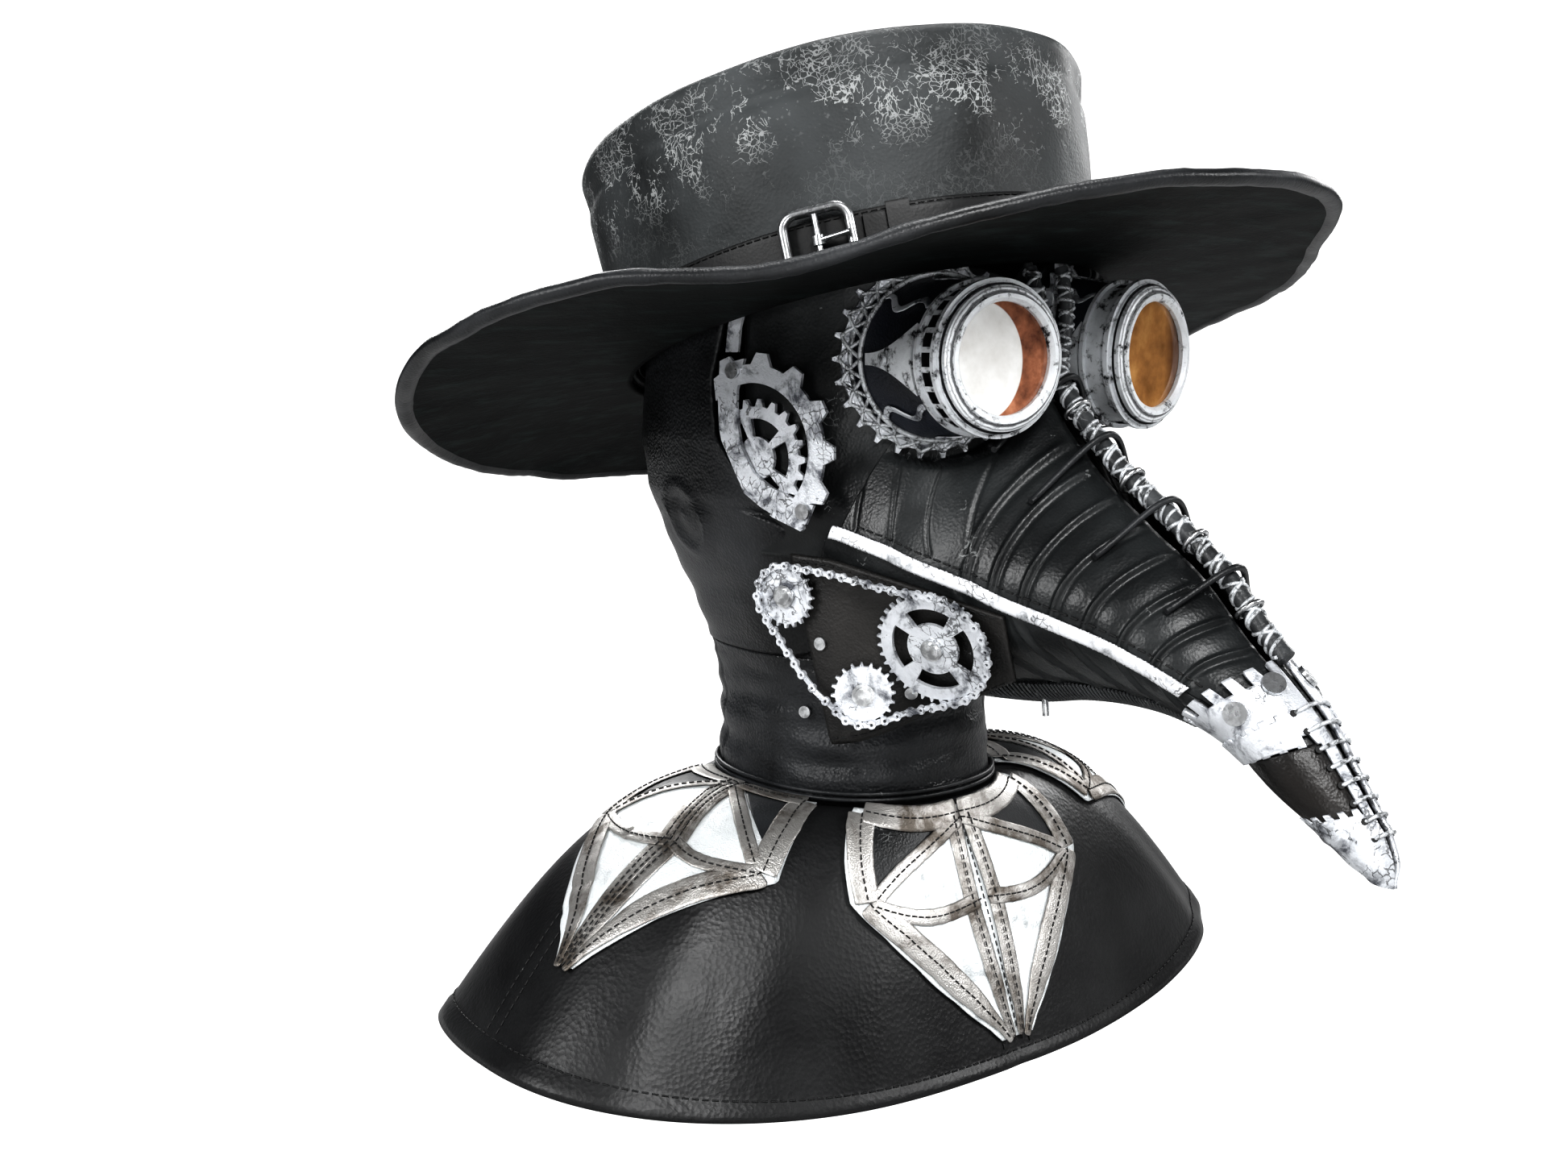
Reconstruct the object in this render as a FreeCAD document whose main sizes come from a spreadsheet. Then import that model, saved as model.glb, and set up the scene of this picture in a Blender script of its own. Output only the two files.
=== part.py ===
import FreeCAD, Part
import math
import os
import Sketcher
from FreeCAD import Placement, Rotation, Vector

os.makedirs("parts", exist_ok=True)
doc = FreeCAD.newDocument("plague_doctor_mask")

# driving sizes, in mm and degrees: alias, value, meaning
SIZES = [
    # hat
    ("crown_height", 92.0, "crown side, measured along the hat's own axis"),
    ("crown_base_x", 102.0, "half width of the crown where it meets the brim"),
    ("crown_base_y", 113.5, "half depth of the crown where it meets the brim"),
    ("crown_flare", 1.065, "top of the crown over its base"),
    ("hat_pitch", 15.6, "backward tilt of the hat"),
    ("hat_back", 2.7, "centre of the crown base ahead of the ears"),
    ("hat_up", 28.7, "centre of the crown base above the eyes' datum"),
    ("felt", 3.0, "thickness of the stiffened hat leather"),
    ("brim_x", 214.0, "half width of the brim"),
    ("brim_y", 200.0, "half depth of the brim"),
    ("brim_ahead", 14.0, "brim centre ahead of the crown centre"),
    ("brim_droop", 8.0, "mean fall of the rim below the crown base"),
    ("band_height", 24.0, "strap round the crown"),
    ("band_thick", 2.4, "strap leather"),
    ("buckle_wide", 27.0, "buckle frame along the strap"),
    ("buckle_tall", 24.0, "buckle frame across the strap"),
    ("buckle_wire", 2.0, "radius of the buckle wire"),
    ("buckle_high", 16.0, "centre of the buckle above the brim"),
    ("hat_lift", 130.0, "travel that takes the hat off the hood"),
    # goggles
    ("lens_r", 22.3, "lens disc"),
    ("lens_thick", 2.5, "lens disc"),
    ("ring_mouth", 21.6, "clear opening of the retaining ring"),
    ("ring_r", 27.8, "flange of the retaining ring"),
    ("collar_r", 29.0, "outside of the collar"),
    ("collar_long", 14.5, "collar along the lens axis"),
    ("collar_bore", 25.0, "bore of the collar"),
    ("cup_base_r", 33.0, "eyecup where it meets the face"),
    ("cup_wall", 2.6, "eyecup wall"),
    ("eye_x", 43.7, "lens centre off the middle plane"),
    ("eye_ahead", 133.5, "lens centre ahead of the ears"),
    ("eye_up", 18.8, "lens centre height"),
    ("eye_splay", 8.5, "outward turn of the lens axis"),
    ("seat_x", 38.0, "centre of the eyecup seat off the middle plane"),
    ("seat_ahead", 88.0, "centre of the eyecup seat ahead of the ears"),
    ("seat_splay", 30.0, "outward turn of the eyecup seat"),
    ("spike_teeth", 26.0, "spikes on the base ring"),
    ("spike_tip_r", 40.6, "points of the spikes"),
    ("run_gap", 0.2, "running clearance of the retaining ring"),
    # mask leather
    ("hide", 3.0, "mask leather"),
    ("trim_wide", 5.0, "mouth trim"),
    ("trim_thick", 1.6, "mouth trim"),
    ("cord_r", 3.8, "wrapped ridge cord"),
    ("lay_gap", 0.4, "gap between laid-on pieces and the leather"),
    ("plate", 1.8, "silvered decoration leather"),
    # cheek chain drive
    ("sprocket_big_r", 24.6, "points of the large sprocket"),
    ("sprocket_small_r", 13.2, "points of the small sprockets"),
    ("chain_pitch", 5.4, "link to link"),
    ("cap_r", 4.6, "cap rivets on the sprockets"),
    # temple ornament
    ("temple_r", 40.0, "points of the scalloped temple ring"),
    ("temple_gear_r", 24.6, "points of the inner temple gear"),
    # hood and mantle
    ("cloth", 2.4, "hood and mantle leather"),
    ("neck_x", 58.0, "half width of the neckline"),
    ("hem_x", 203.0, "half width of the hem over the shoulders"),
    ("hem_front", 106.0, "front of the hem ahead of the ears"),
    ("hem_back", 138.0, "back of the hem behind the ears"),
    ("hem_drop", 286.0, "hem below the datum, front and back"),
]
sheet = doc.addObject("Spreadsheet::Sheet", "Sizes")
for index, (alias, value, meaning) in enumerate(SIZES, start=1):
    sheet.set("A%d" % index, meaning)
    sheet.set("B%d" % index, repr(value))
    sheet.setAlias("B%d" % index, alias)
doc.recompute()


def val(alias):
    return float(getattr(sheet, alias))


nodes = {}


def keep(obj, label):
    obj.Label = label
    nodes[label] = obj
    return obj


def feature(label, shape, placement=None):
    obj = doc.addObject("Part::Feature", label)
    obj.Shape = shape
    if placement is not None:
        obj.Placement = placement
    return keep(obj, label)


def primitive(kind, name, placement=None, **bound):
    obj = doc.addObject("Part::" + kind, name)
    for prop, text in bound.items():
        obj.setExpression(prop, text)
    if placement is not None:
        obj.Placement = placement
    return obj


def boolean(kind, name, base, tool):
    obj = doc.addObject("Part::" + kind, name)
    obj.Base = base
    obj.Tool = tool
    return obj


def group(label, members):
    obj = doc.addObject("Part::Compound", label)
    obj.Links = members
    return keep(obj, label)


def mirrored(name, source):
    obj = doc.addObject("Part::Mirroring", name)
    obj.Source = source
    obj.Normal = Vector(1, 0, 0)
    obj.Base = Vector(0, 0, 0)
    return obj


def flip(shape):
    return shape.mirror(Vector(0, 0, 0), Vector(1, 0, 0))


def solid_from(faces):
    shell = Part.makeShell(faces)
    shell.sewShape()
    solid = Part.Solid(shell.Shells[0] if shell.Shells else shell)
    if solid.Volume < 0:
        solid.reverse()
    return solid


def slab(sections):
    # solid through closed straight-edged sections of equal count, flat at both ends
    wires = [Part.makePolygon(points + [points[0]]) for points in sections]
    solid = Part.makeLoft(wires, True, True)
    if solid.Volume < 0:
        solid.reverse()
    return solid


def skin_solid(sections):
    # smooth sheet between an outer and an inner grid; a section is outer points, then inner reversed
    half = len(sections[0]) // 2
    sheets = []
    for grid in ([row[:half] for row in sections], [row[half:][::-1] for row in sections]):
        surface = Part.BSplineSurface()
        surface.interpolate(grid)
        sheets.append(surface)
    faces = [sheet.toShape() for sheet in sheets]
    for pick in (0, 1):
        rims_u = [sheet.uIso(sheet.bounds()[pick]).toShape() for sheet in sheets]
        rims_v = [sheet.vIso(sheet.bounds()[2 + pick]).toShape() for sheet in sheets]
        faces.append(Part.makeRuledSurface(rims_u[0], rims_u[1]))
        faces.append(Part.makeRuledSurface(rims_v[0], rims_v[1]))
    return solid_from(faces)


def tube(points, radius):
    # round cord through a few points
    curve = Part.BSplineCurve()
    curve.interpolate(points)
    path = Part.Wire([curve.toShape()])
    start = Part.Circle(points[0], curve.tangent(curve.FirstParameter)[0], radius)
    return path.makePipeShell([Part.Wire([start.toShape()])], True, False)


def steps(first, last, count):
    return [first + (last - first) * i / (count - 1.0) for i in range(count)]


def ease(x):
    x = min(max(x, 0.0), 1.0)
    return x * x * (3.0 - 2.0 * x)


def along(rows, t):
    # smooth curve through rows of numbers, one row per whole t
    i = min(max(int(t), 0), len(rows) - 2)
    f = t - i
    a = rows[max(i - 1, 0)]
    b = rows[i]
    c = rows[i + 1]
    d = rows[min(i + 2, len(rows) - 1)]
    out = []
    for k in range(len(b)):
        m0 = (c[k] - a[k]) * 0.5
        m1 = (d[k] - b[k]) * 0.5
        f2 = f * f
        f3 = f2 * f
        part = (2 * f3 - 3 * f2 + 1) * b[k] + (f3 - 2 * f2 + f) * m0
        out.append(part + (3 * f2 - 2 * f3) * c[k] + (f3 - f2) * m1)
    return out


def steer(rows, x):
    # straight interpolation in a sorted list of pairs
    if x <= rows[0][0]:
        return rows[0][1]
    for (x0, y0), (x1, y1) in zip(rows, rows[1:]):
        if x <= x1:
            return y0 + (y1 - y0) * (x - x0) / (x1 - x0)
    return rows[-1][1]


# ---------------------------------------------------------------- hat
pitch = math.radians(val("hat_pitch"))
hat_axis = Vector(0, math.sin(pitch), math.cos(pitch))
hat_place = Placement(Vector(0, -val("hat_back"), val("hat_up")),
                      Rotation(Vector(1, 0, 0), -val("hat_pitch")))


# the oval's long way runs front to back on a usual head
long_way = 90 if val("crown_base_y") >= val("crown_base_x") else 0


def oval_tube(label, low, high, x_low, y_low, x_high, y_high, wall):
    # upright oval tube between two heights, sizes given as sheet formulas
    parts = []
    for inset in ("0", wall):
        rims = []
        for height, x_text, y_text in ((low, x_low, y_low), (high, x_high, y_high)):
            rim = doc.addObject("Part::Ellipse", label + "_rim")
            rim.setExpression("MajorRadius", "max(%s; %s) - %s" % (x_text, y_text, inset))
            rim.setExpression("MinorRadius", "min(%s; %s) - %s" % (x_text, y_text, inset))
            rim.setExpression("Placement.Base.z", height)
            rims.append(rim)
        body = doc.addObject("Part::Loft", label + "_loft")
        body.Sections = rims
        body.Solid = True
        body.Ruled = True
        parts.append(body)
    out = boolean("Cut", label, parts[0], parts[1])
    out.Placement = hat_place.multiply(Placement(Vector(0, 0, 0), Rotation(Vector(0, 0, 1), long_way)))
    return keep(out, label)


S = "Sizes."
base_x = S + "crown_base_x"
base_y = S + "crown_base_y"
top_x = "%s * %scrown_flare" % (base_x, S)
top_y = "%s * %scrown_flare" % (base_y, S)
rise = S + "crown_height"
oval_tube("hat_crown_side", "0.5", rise, base_x, base_y, top_x, top_y, S + "felt")
oval_tube("hat_sweatband", "2", "34", base_x + " - 3.4", base_y + " - 3.4",
          base_x + " - 2.2", base_y + " - 2.2", "1.2")


def crown_at(height, out, angle):
    # point on the crown's outside in the hat's own frame, angle 0 = front
    grow = 1.0 + (val("crown_flare") - 1.0) * height / val("crown_height")
    return Vector((val("crown_base_x") * grow + out) * math.sin(angle),
                  -(val("crown_base_y") * grow + out) * math.cos(angle), height)


def closed_ring(section, count=48):
    # solid ring: section(angle) gives the corner points, four faces per corner pair
    angles = [2 * math.pi * i / count for i in range(count)]
    corners = [section(a) for a in angles]
    faces = []
    curves = []
    for k in range(len(corners[0])):
        curve = Part.BSplineCurve()
        curve.interpolate([c[k] for c in corners], PeriodicFlag=True)
        curves.append(curve.toShape())
    for k in range(len(curves)):
        faces.append(Part.makeRuledSurface(curves[k], curves[(k + 1) % len(curves)]))
    return solid_from(faces)


def crown_cap(angle):
    # folded-over top piece, kept just above the side wall
    high = val("crown_height")
    return [crown_at(high, -1.0, angle) + Vector(0, 0, 0.3),
            crown_at(high, -1.0, angle) + Vector(0, 0, 3.3),
            crown_at(high, -7.0, angle) + Vector(0, 0, 6.0),
            crown_at(high, -60.0, angle) + Vector(0, 0, 4.5),
            crown_at(high, -60.0, angle) + Vector(0, 0, 1.5),
            crown_at(high, -7.0, angle) + Vector(0, 0, 3.0)]


cap_ring = closed_ring(crown_cap)
core_sizes = [val(name) * val("crown_flare") - 59.0 for name in ("crown_base_x", "crown_base_y")]
cap_core_low = Part.Ellipse(Vector(0, 0, 0), max(core_sizes), min(core_sizes))
core_wire = Part.Wire([cap_core_low.toShape()])
core = Part.Face(core_wire).extrude(Vector(0, 0, 3.0))
core.rotate(Vector(0, 0, 0), Vector(0, 0, 1), long_way)
core.translate(Vector(0, 0, val("crown_height") + 1.5))
feature("hat_crown_top", cap_ring.fuse(core).removeSplitter(), hat_place)


def hump(degrees, middle, width):
    # smooth bump of height 1 round one direction
    return math.exp(-((degrees - middle) / width) ** 2)


def rim_at(angle, reach, lift):
    # brim surface in the hat's own frame; reach 0 at the crown, 1 at the rim
    inner = crown_at(0.0, 0.6, angle)
    degrees = (math.degrees(angle) + 180.0) % 360.0 - 180.0
    wave = 4.0 * math.cos(2 * angle) - 12.0 * math.cos(angle) - 2.5 * math.cos(4 * angle)
    # the worn rim hangs lower over the right front and comes in over the left front
    wave += 9.5 * hump(degrees, -47.0, 16.0) + 6.0 * hump(degrees, -5.0, 42.0)
    swell = 1.0 + 0.02 * math.cos(3 * angle) + 0.02 * math.cos(4 * angle)
    swell += 0.04 * hump(degrees, 88.0, 22.0) - 0.04 * hump(degrees, 40.0, 17.0)
    outer = Vector(val("brim_x") * swell * math.sin(angle),
                   -val("brim_y") * swell * math.cos(angle) - val("brim_ahead"),
                   -val("brim_droop") - wave)
    point = inner + (outer - inner) * reach
    point.z = inner.z + (outer.z - inner.z) * reach ** 1.5 + lift
    return point


def brim_section(angle):
    reach = [0.0, 0.35, 0.7, 0.985]
    low = [rim_at(angle, r, -4.0) for r in reach]
    return low + [rim_at(angle, r, 0.0) for r in reversed(reach)]


def binding_section(angle):
    # folded strip, open towards the brim
    return [rim_at(angle, 0.955, -5.8), rim_at(angle, 1.01, -5.2), rim_at(angle, 1.01, 1.2),
            rim_at(angle, 0.955, 1.8), rim_at(angle, 0.955, 0.3), rim_at(angle, 0.993, 0.3),
            rim_at(angle, 0.993, -4.3), rim_at(angle, 0.955, -4.3)]


feature("hat_brim", closed_ring(brim_section, 72), hat_place)
feature("hat_brim_binding", closed_ring(binding_section, 72), hat_place)


def band_section(angle):
    low = 0.8
    high = low + val("band_height")
    gap = 0.4
    far = gap + val("band_thick")
    return [crown_at(low, gap, angle), crown_at(low, far, angle),
            crown_at(high, far, angle), crown_at(high, gap, angle)]


feature("hat_band", closed_ring(band_section), hat_place)

# buckle on the wearer's right front of the band
buckle_turn = math.radians(-50.0)
mid_band = val("buckle_high")
spot = crown_at(mid_band, 0.4 + val("band_thick"), buckle_turn)
ahead = crown_at(mid_band, 0.4 + val("band_thick"), buckle_turn + 0.02)
strap_dir = (ahead - spot).normalize()
strap_up = (crown_at(mid_band + 5, 0.4 + val("band_thick"), buckle_turn) - spot).normalize()
strap_out = strap_up.cross(strap_dir).normalize()
if strap_out.dot(spot) < 0:
    strap_out = strap_out * -1.0
buckle_matrix = FreeCAD.Matrix(strap_dir.x, strap_up.x, strap_out.x, spot.x,
                               strap_dir.y, strap_up.y, strap_out.y, spot.y,
                               strap_dir.z, strap_up.z, strap_out.z, spot.z,
                               0, 0, 0, 1)
buckle_place = hat_place.multiply(Placement(buckle_matrix))


def wire_frame(wide, tall, radius, corner, height):
    # rounded rectangle of round wire lying level at the given height
    a = wide / 2.0 - corner
    b = tall / 2.0 - corner
    edges = []
    corners = [(a, b, 0), (-a, b, 90), (-a, -b, 180), (a, -b, 270)]
    for k, (x, y, turn) in enumerate(corners):
        arc = Part.makeCircle(corner, Vector(x, y, height), Vector(0, 0, 1), turn, turn + 90)
        edges.append(arc)
        nx, ny, nt = corners[(k + 1) % 4]
        end = math.radians(turn + 90)
        edges.append(Part.makeLine(Vector(x + corner * math.cos(end), y + corner * math.sin(end), height),
                                   Vector(nx + corner * math.cos(end), ny + corner * math.sin(end), height)))
    path = Part.Wire(Part.__sortEdges__(edges))
    start = Vector(a + corner, 0, height)
    ring = Part.Wire([Part.makeCircle(radius, start, Vector(0, 1, 0))])
    return path.makePipeShell([ring], True, True)


buckle_lift = 0.8 + val("buckle_wire")
frame = wire_frame(val("buckle_wide"), val("buckle_tall"), val("buckle_wire"), 6.0, buckle_lift)
bar = Part.makeCylinder(1.3, val("buckle_tall"), Vector(0, -val("buckle_tall") / 2, buckle_lift), Vector(0, 1, 0))
feature("hat_buckle_frame", frame.fuse(bar).removeSplitter(), buckle_place)
eye = Part.makeCylinder(2.5, 3.6, Vector(0, -1.8, buckle_lift), Vector(0, 1, 0))
reach = val("buckle_wide") / 2.0 + 0.5
tongue = Part.makeCylinder(1.1, reach - 2.0, Vector(2.0, 0, buckle_lift + 1.2), Vector(1, 0, 0.28))
tongue = tongue.fuse(Part.makeSphere(1.1, Vector(2.0, 0, buckle_lift + 1.2)))
bore = Part.makeCylinder(1.4, 6.0, Vector(0, -3.0, buckle_lift), Vector(0, 1, 0))
feature("hat_buckle_prong", eye.fuse(tongue).cut(bore).removeSplitter(), buckle_place)


def strap_piece(first, last, low, high, near, far, count=14):
    return slab([[crown_at(low, near, a), crown_at(low, far, a), crown_at(high, far, a),
                  crown_at(high, near, a)] for a in steps(first, last, count)])


over = 0.4 + val("band_thick") + 0.4
tail = strap_piece(buckle_turn + 0.16, buckle_turn + 0.62, 3.0, 0.8 + val("band_height") - 2.2,
                   over, over + 2.2)
feature("hat_band_tail", tail, hat_place)
keeper = strap_piece(buckle_turn + 0.24, buckle_turn + 0.32, 0.9, 0.9 + val("band_height"),
                     over + 2.6, over + 4.4, 4)
feature("hat_band_keeper", keeper, hat_place)

# ------------------------------------------------------------- mask leather
# upright slices of beak and face: ridge y, z; underside y, z; half width; downward bias
BEAK = [
    (-104, 66, -40, -112, 71, 1.9),
    (-114, 40, -64, -118, 67, 1.7),
    (-118, 10, -86, -120, 59, 1.4),
    (-147, -23, -118, -118, 47.5, 1.1),
    (-176, -44, -143, -113.5, 41, 1.0),
    (-202, -63, -168, -112, 34, 1.0),
    (-222, -84, -190, -114, 27.5, 1.0),
    (-246, -105, -213, -121, 20.5, 1.0),
    (-263, -127, -235, -136, 14.5, 1.0),
    (-277, -148, -259, -151, 8.5, 1.0),
    (-281, -163, -270, -159, 4.5, 1.0),
]


def beak_point(t, s):
    # wearer's right side; t along the beak, s 0 at the ridge and 1 at the underside
    ry, rz, ly, lz, wide, bias = along(BEAK, t)
    w = wide * max(math.sin(math.pi * s ** bias), 0.0) ** 0.62
    return Vector(-w, ry + (ly - ry) * s, rz + (lz - rz) * s)


def beak_at(t, s, out):
    here = beak_point(t, s)
    s_low, s_high = max(s - 0.02, 0.004), min(s + 0.02, 0.996)
    t_low, t_high = max(t - 0.1, 0.0), min(t + 0.1, 10.0)
    ds = beak_point(t, s_high) - beak_point(t, s_low)
    dt = beak_point(t_high, s) - beak_point(t_low, s)
    normal = ds.cross(dt).normalize()
    if normal.x > 0 and 0.1 < s < 0.9:
        normal = normal * -1.0
    elif s <= 0.1 and normal.dot(Vector(-0.3, -1, 1)) < 0:
        normal = normal * -1.0
    elif s >= 0.9 and normal.dot(Vector(-0.3, 0.6, -1)) < 0:
        normal = normal * -1.0
    point = here + normal * out
    point.x = min(point.x, -0.25)
    return point


def mouth_s(t):
    return steer([(0.0, 0.66), (1.5, 0.58), (2.75, 0.525), (5.2, 0.52), (7.0, 0.46), (10, 0.46)], t)


def beak_shell(t_list, s_first, s_last, low, high, count=9):
    sections = []
    for t in t_list:
        s_list = steps(s_first(t), s_last(t), count)
        outer = [beak_at(t, s, high) for s in s_list]
        inner = [beak_at(t, s, low) for s in reversed(s_list)]
        sections.append(outer + inner)
    return skin_solid(sections)


t_upper = [0, 0.5, 1, 1.5, 2, 2.5, 3, 3.5, 4, 4.5, 5, 5.5, 6, 6.5, 7, 7.5, 8, 8.5, 8.7]
upper = beak_shell([0.3] + t_upper[1:], lambda t: 0.012, lambda t: mouth_s(t) - 0.006, -val("hide"), 0.0, 11)
lower = beak_shell(t_upper, lambda t: mouth_s(t) + 0.006, lambda t: 0.988 - 0.09 * max(1.0 - t / 1.2, 0.0),
                   -val("hide"), 0.0, 9)

# eyecup seats: the leather is cut flat and open where each cup sits
seat_turn = math.radians(val("seat_splay"))
seat_mid = Vector(-val("seat_x"), -val("seat_ahead"), val("eye_up"))
seat_dir = Vector(-math.sin(seat_turn), -math.cos(seat_turn), 0)
seat_cut = Part.makeCylinder(val("spike_tip_r") + 2.0, 60.0, seat_mid, seat_dir)
eye_hole = Part.makeCylinder(val("cup_base_r") - 6.0, 60.0, seat_mid - seat_dir * 25.0, seat_dir)
upper = upper.cut(seat_cut).cut(eye_hole)


def biggest(shape):
    return max(shape.Solids, key=lambda solid: solid.Volume)


upper = biggest(upper)
feature("beak_upper_right", upper)
feature("beak_upper_left", flip(upper))
feature("beak_lower_right", lower)
feature("beak_lower_left", flip(lower))


def oval(angle, wide, ahead, behind, middle, power):
    # rounded-square outline, angle 0 = front, on the wearer's right
    sn = math.sin(angle)
    cs = math.cos(angle)
    reach = ahead if cs > 0 else behind
    return (-wide * abs(sn) ** (2.0 / power),
            middle - math.copysign(reach * abs(cs) ** (2.0 / power), cs))


def face_at(angle, z, out):
    # side of the face on the wearer's right
    x, y = oval(angle, 84.0 + out, 92.0 + out, 92.0, 0.0, 2.4)
    return Vector(x, y, z)


def beak_half(y, z):
    # half width of the beak skin where a slice passes through y, z
    for i in range(0, 61):
        t = i * 0.05
        ry, rz, ly, lz, wide, bias = along(BEAK, t)
        s = (rz - z) / (rz - lz)
        if not 0.0 < s < 1.0:
            continue
        if ry + (ly - ry) * s <= y:
            return -beak_point(t, s).x
    return 0.0


wing_sections = []
wing_rows = 12
for row in range(wing_rows + 1):
    share = row / float(wing_rows)

    def level(point):
        # both ends of the wing are cut parallel to flat planes
        foot = -38.0
        crest = 39.0 - 0.26 * point.y
        return foot + (crest - foot) * share
    first = 0.12
    while first < 1.2:
        probe = face_at(first, 0, -val("hide"))
        if -probe.x > beak_half(probe.y, level(probe)) + 1.2:
            break
        first += 0.01
    angles = steps(first, 1.38, 13)
    outer = [face_at(a, 0, 0.0) for a in angles]
    inner = [face_at(a, 0, -val("hide")) for a in reversed(angles)]
    wing_sections.append([Vector(q.x, q.y, level(q)) for q in outer + inner])
wing = slab(wing_sections)
wing = biggest(wing.cut(seat_cut).cut(eye_hole))
feature("mask_face_right", wing)
feature("mask_face_left", flip(wing))

# ------------------------------------------------------------- mouth trim and ridge
trim_half = val("trim_wide") / 2.0
low = val("lay_gap")
high = low + val("trim_thick")


def trim_s(t, side):
    ry, rz, ly, lz, wide, bias = along(BEAK, t)
    tall = math.hypot(ly - ry, lz - rz)
    return mouth_s(t) + side * trim_half / tall


trim = beak_shell([0.15, 0.5, 1, 1.5, 2, 2.5, 3, 3.5, 4, 4.5, 5, 5.5, 6, 6.15],
                  lambda t: trim_s(t, -1), lambda t: trim_s(t, 1), low, high, 3)
group_solids = [trim, flip(trim)]
feature("mouth_trims", Part.makeCompound(group_solids))


def ridge_at(t, stand):
    # middle-plane curve standing clear of the ridge
    ry, rz, ly, lz, wide, bias = along(BEAK, t)
    a = along(BEAK, max(t - 0.1, 0))
    b = along(BEAK, min(t + 0.1, 10))
    run = Vector(0, b[0] - a[0], b[1] - a[1]).normalize()
    out = Vector(0, run.z, -run.y)
    if out.y > 0:
        out = out * -1.0
    return Vector(0, ry, rz) + out * stand


cord_stand = val("cord_r") + 0.8
cord = tube([ridge_at(t, cord_stand) for t in (1.9, 2.4, 3, 4, 5, 6, 6.35)], val("cord_r"))
brow = tube([ridge_at(t, cord_stand + 0.5) + Vector(-x, 0, 0)
             for t, x in ((1.75, 4.0), (1.4, 6.5), (1.1, 7.5), (0.8, 8.5))], 2.9)
feature("ridge_cord", Part.makeCompound([cord, brow, flip(brow)]))

thongs = []
for t in (2.15, 2.85, 3.95, 5.1):
    mid = ridge_at(t, 0)
    near = beak_at(t, 0.10, val("lay_gap") + 2.6)
    far = Vector(-near.x, near.y, near.z)
    crest = ridge_at(t, cord_stand + val("cord_r") + 1.9)
    left_low = beak_at(t, 0.19, val("lay_gap") + 2.2)
    right_low = Vector(-left_low.x, left_low.y, left_low.z)
    thongs.append(tube([left_low, near + (crest - near) * 0.45 + Vector(-2.2, 0, 0), crest,
                        far + (crest - far) * 0.45 + Vector(2.2, 0, 0), right_low], 1.3))
feature("ridge_thongs", Part.makeCompound(thongs))

rings = []
for t in (2.45, 3.4, 4.5, 5.6):
    spot = ridge_at(t, cord_stand)
    after = ridge_at(t + 0.1, cord_stand)
    rings.append(Part.makeTorus(val("cord_r") + 1.3, 1.0, spot, (after - spot).normalize(), 0, 360, 360))
ring_cut = []
ridge_skin = beak_shell([1.5, 2, 2.5, 3, 3.5, 4, 4.5, 5, 5.5, 6, 6.5], lambda t: 0.0121, lambda t: 0.25,
                        -6.0, 0.5, 5)
for ring in rings:
    ring_cut.append(biggest(ring.cut(ridge_skin).cut(flip(ridge_skin))))
feature("ridge_rings", Part.makeCompound(ring_cut))

# ------------------------------------------------------------- beak tip


def between(rear, front, teeth=0, depth=0.0):
    # side-view block between two slices, its rear edge cut into square teeth
    def ends(t):
        ry, rz, ly, lz, wide, bias = along(BEAK, t)
        top = Vector(0, ry, rz)
        low = Vector(0, ly, lz)
        run = (low - top).normalize()
        return top - run * 12.0, low + run * 12.0
    top0, low0 = ends(rear)
    top1, low1 = ends(front)
    outline = []
    run = low0 - top0
    back = Vector(0, -run.z, run.y).normalize()
    if back.y < 0:
        back = back * -1.0
    if teeth:
        for k in range(teeth):
            a = top0 + run * (k / float(teeth))
            b = top0 + run * ((k + 0.5) / float(teeth))
            c = top0 + run * ((k + 1.0) / float(teeth))
            outline += [a, a + back * depth, b + back * depth, b]
        outline.append(low0)
    else:
        outline += [top0, low0]
    outline += [low1, top1]
    outline = [Vector(-60, p.y, p.z) for p in outline]
    return Part.Face(Part.makePolygon(outline + [outline[0]])).extrude(Vector(120, 0, 0))


def tip_skin(t_list, low, high):
    right = beak_shell(t_list, lambda t: 0.012, lambda t: 0.988, low, high, 17)
    return right


gap = val("lay_gap")
plate = val("plate")
t_tip = [6, 6.4, 6.8, 7.2, 7.6, 8, 8.4]
first_plate = tip_skin(t_tip, gap, gap + plate).common(between(6.45, 7.3, 9, 4.0))
second_plate = tip_skin(t_tip, gap * 2 + plate, gap * 2 + plate * 1.8).common(between(7.06, 7.42, 13, 1.6))
feature("tip_plates", Part.makeCompound([biggest(first_plate), flip(biggest(first_plate))]))
feature("tip_plates_engraved", Part.makeCompound([biggest(second_plate), flip(biggest(second_plate))]))
inset = beak_shell([7.5, 7.8, 8.15, 8.5], lambda t: 0.06, lambda t: 0.9, gap, gap + plate, 9)
feature("tip_insets", Part.makeCompound([inset, flip(inset)]))
front_strip = beak_shell([7.5, 8, 8.4, 8.65], lambda t: 0.012, lambda t: 0.045, gap, gap + plate, 4)
feature("tip_front_strips", Part.makeCompound([front_strip, flip(front_strip)]))
cap_slices = []
for t in (8.75, 9.05, 9.3, 9.6, 9.85, 10.0):
    grow = 1.0 + (gap + plate) / along(BEAK, t)[4] * (1.0 if t < 9.9 else 0.1)
    mid = beak_point(t, 0.5)
    mid.x = 0.0
    side = [mid + (beak_point(t, s) - mid) * grow for s in steps(0.03, 0.97, 9)]
    cap_slices.append(side + [Vector(-q.x, q.y, q.z) for q in reversed(side)])
feature("tip_cap", slab(cap_slices))


def stud(t, s, radius, height, lift):
    spot = beak_at(t, s, lift)
    above = beak_at(t, s, lift + 5.0)
    axis = (above - spot).normalize()
    return Part.makeCylinder(radius, height, spot, axis)


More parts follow.
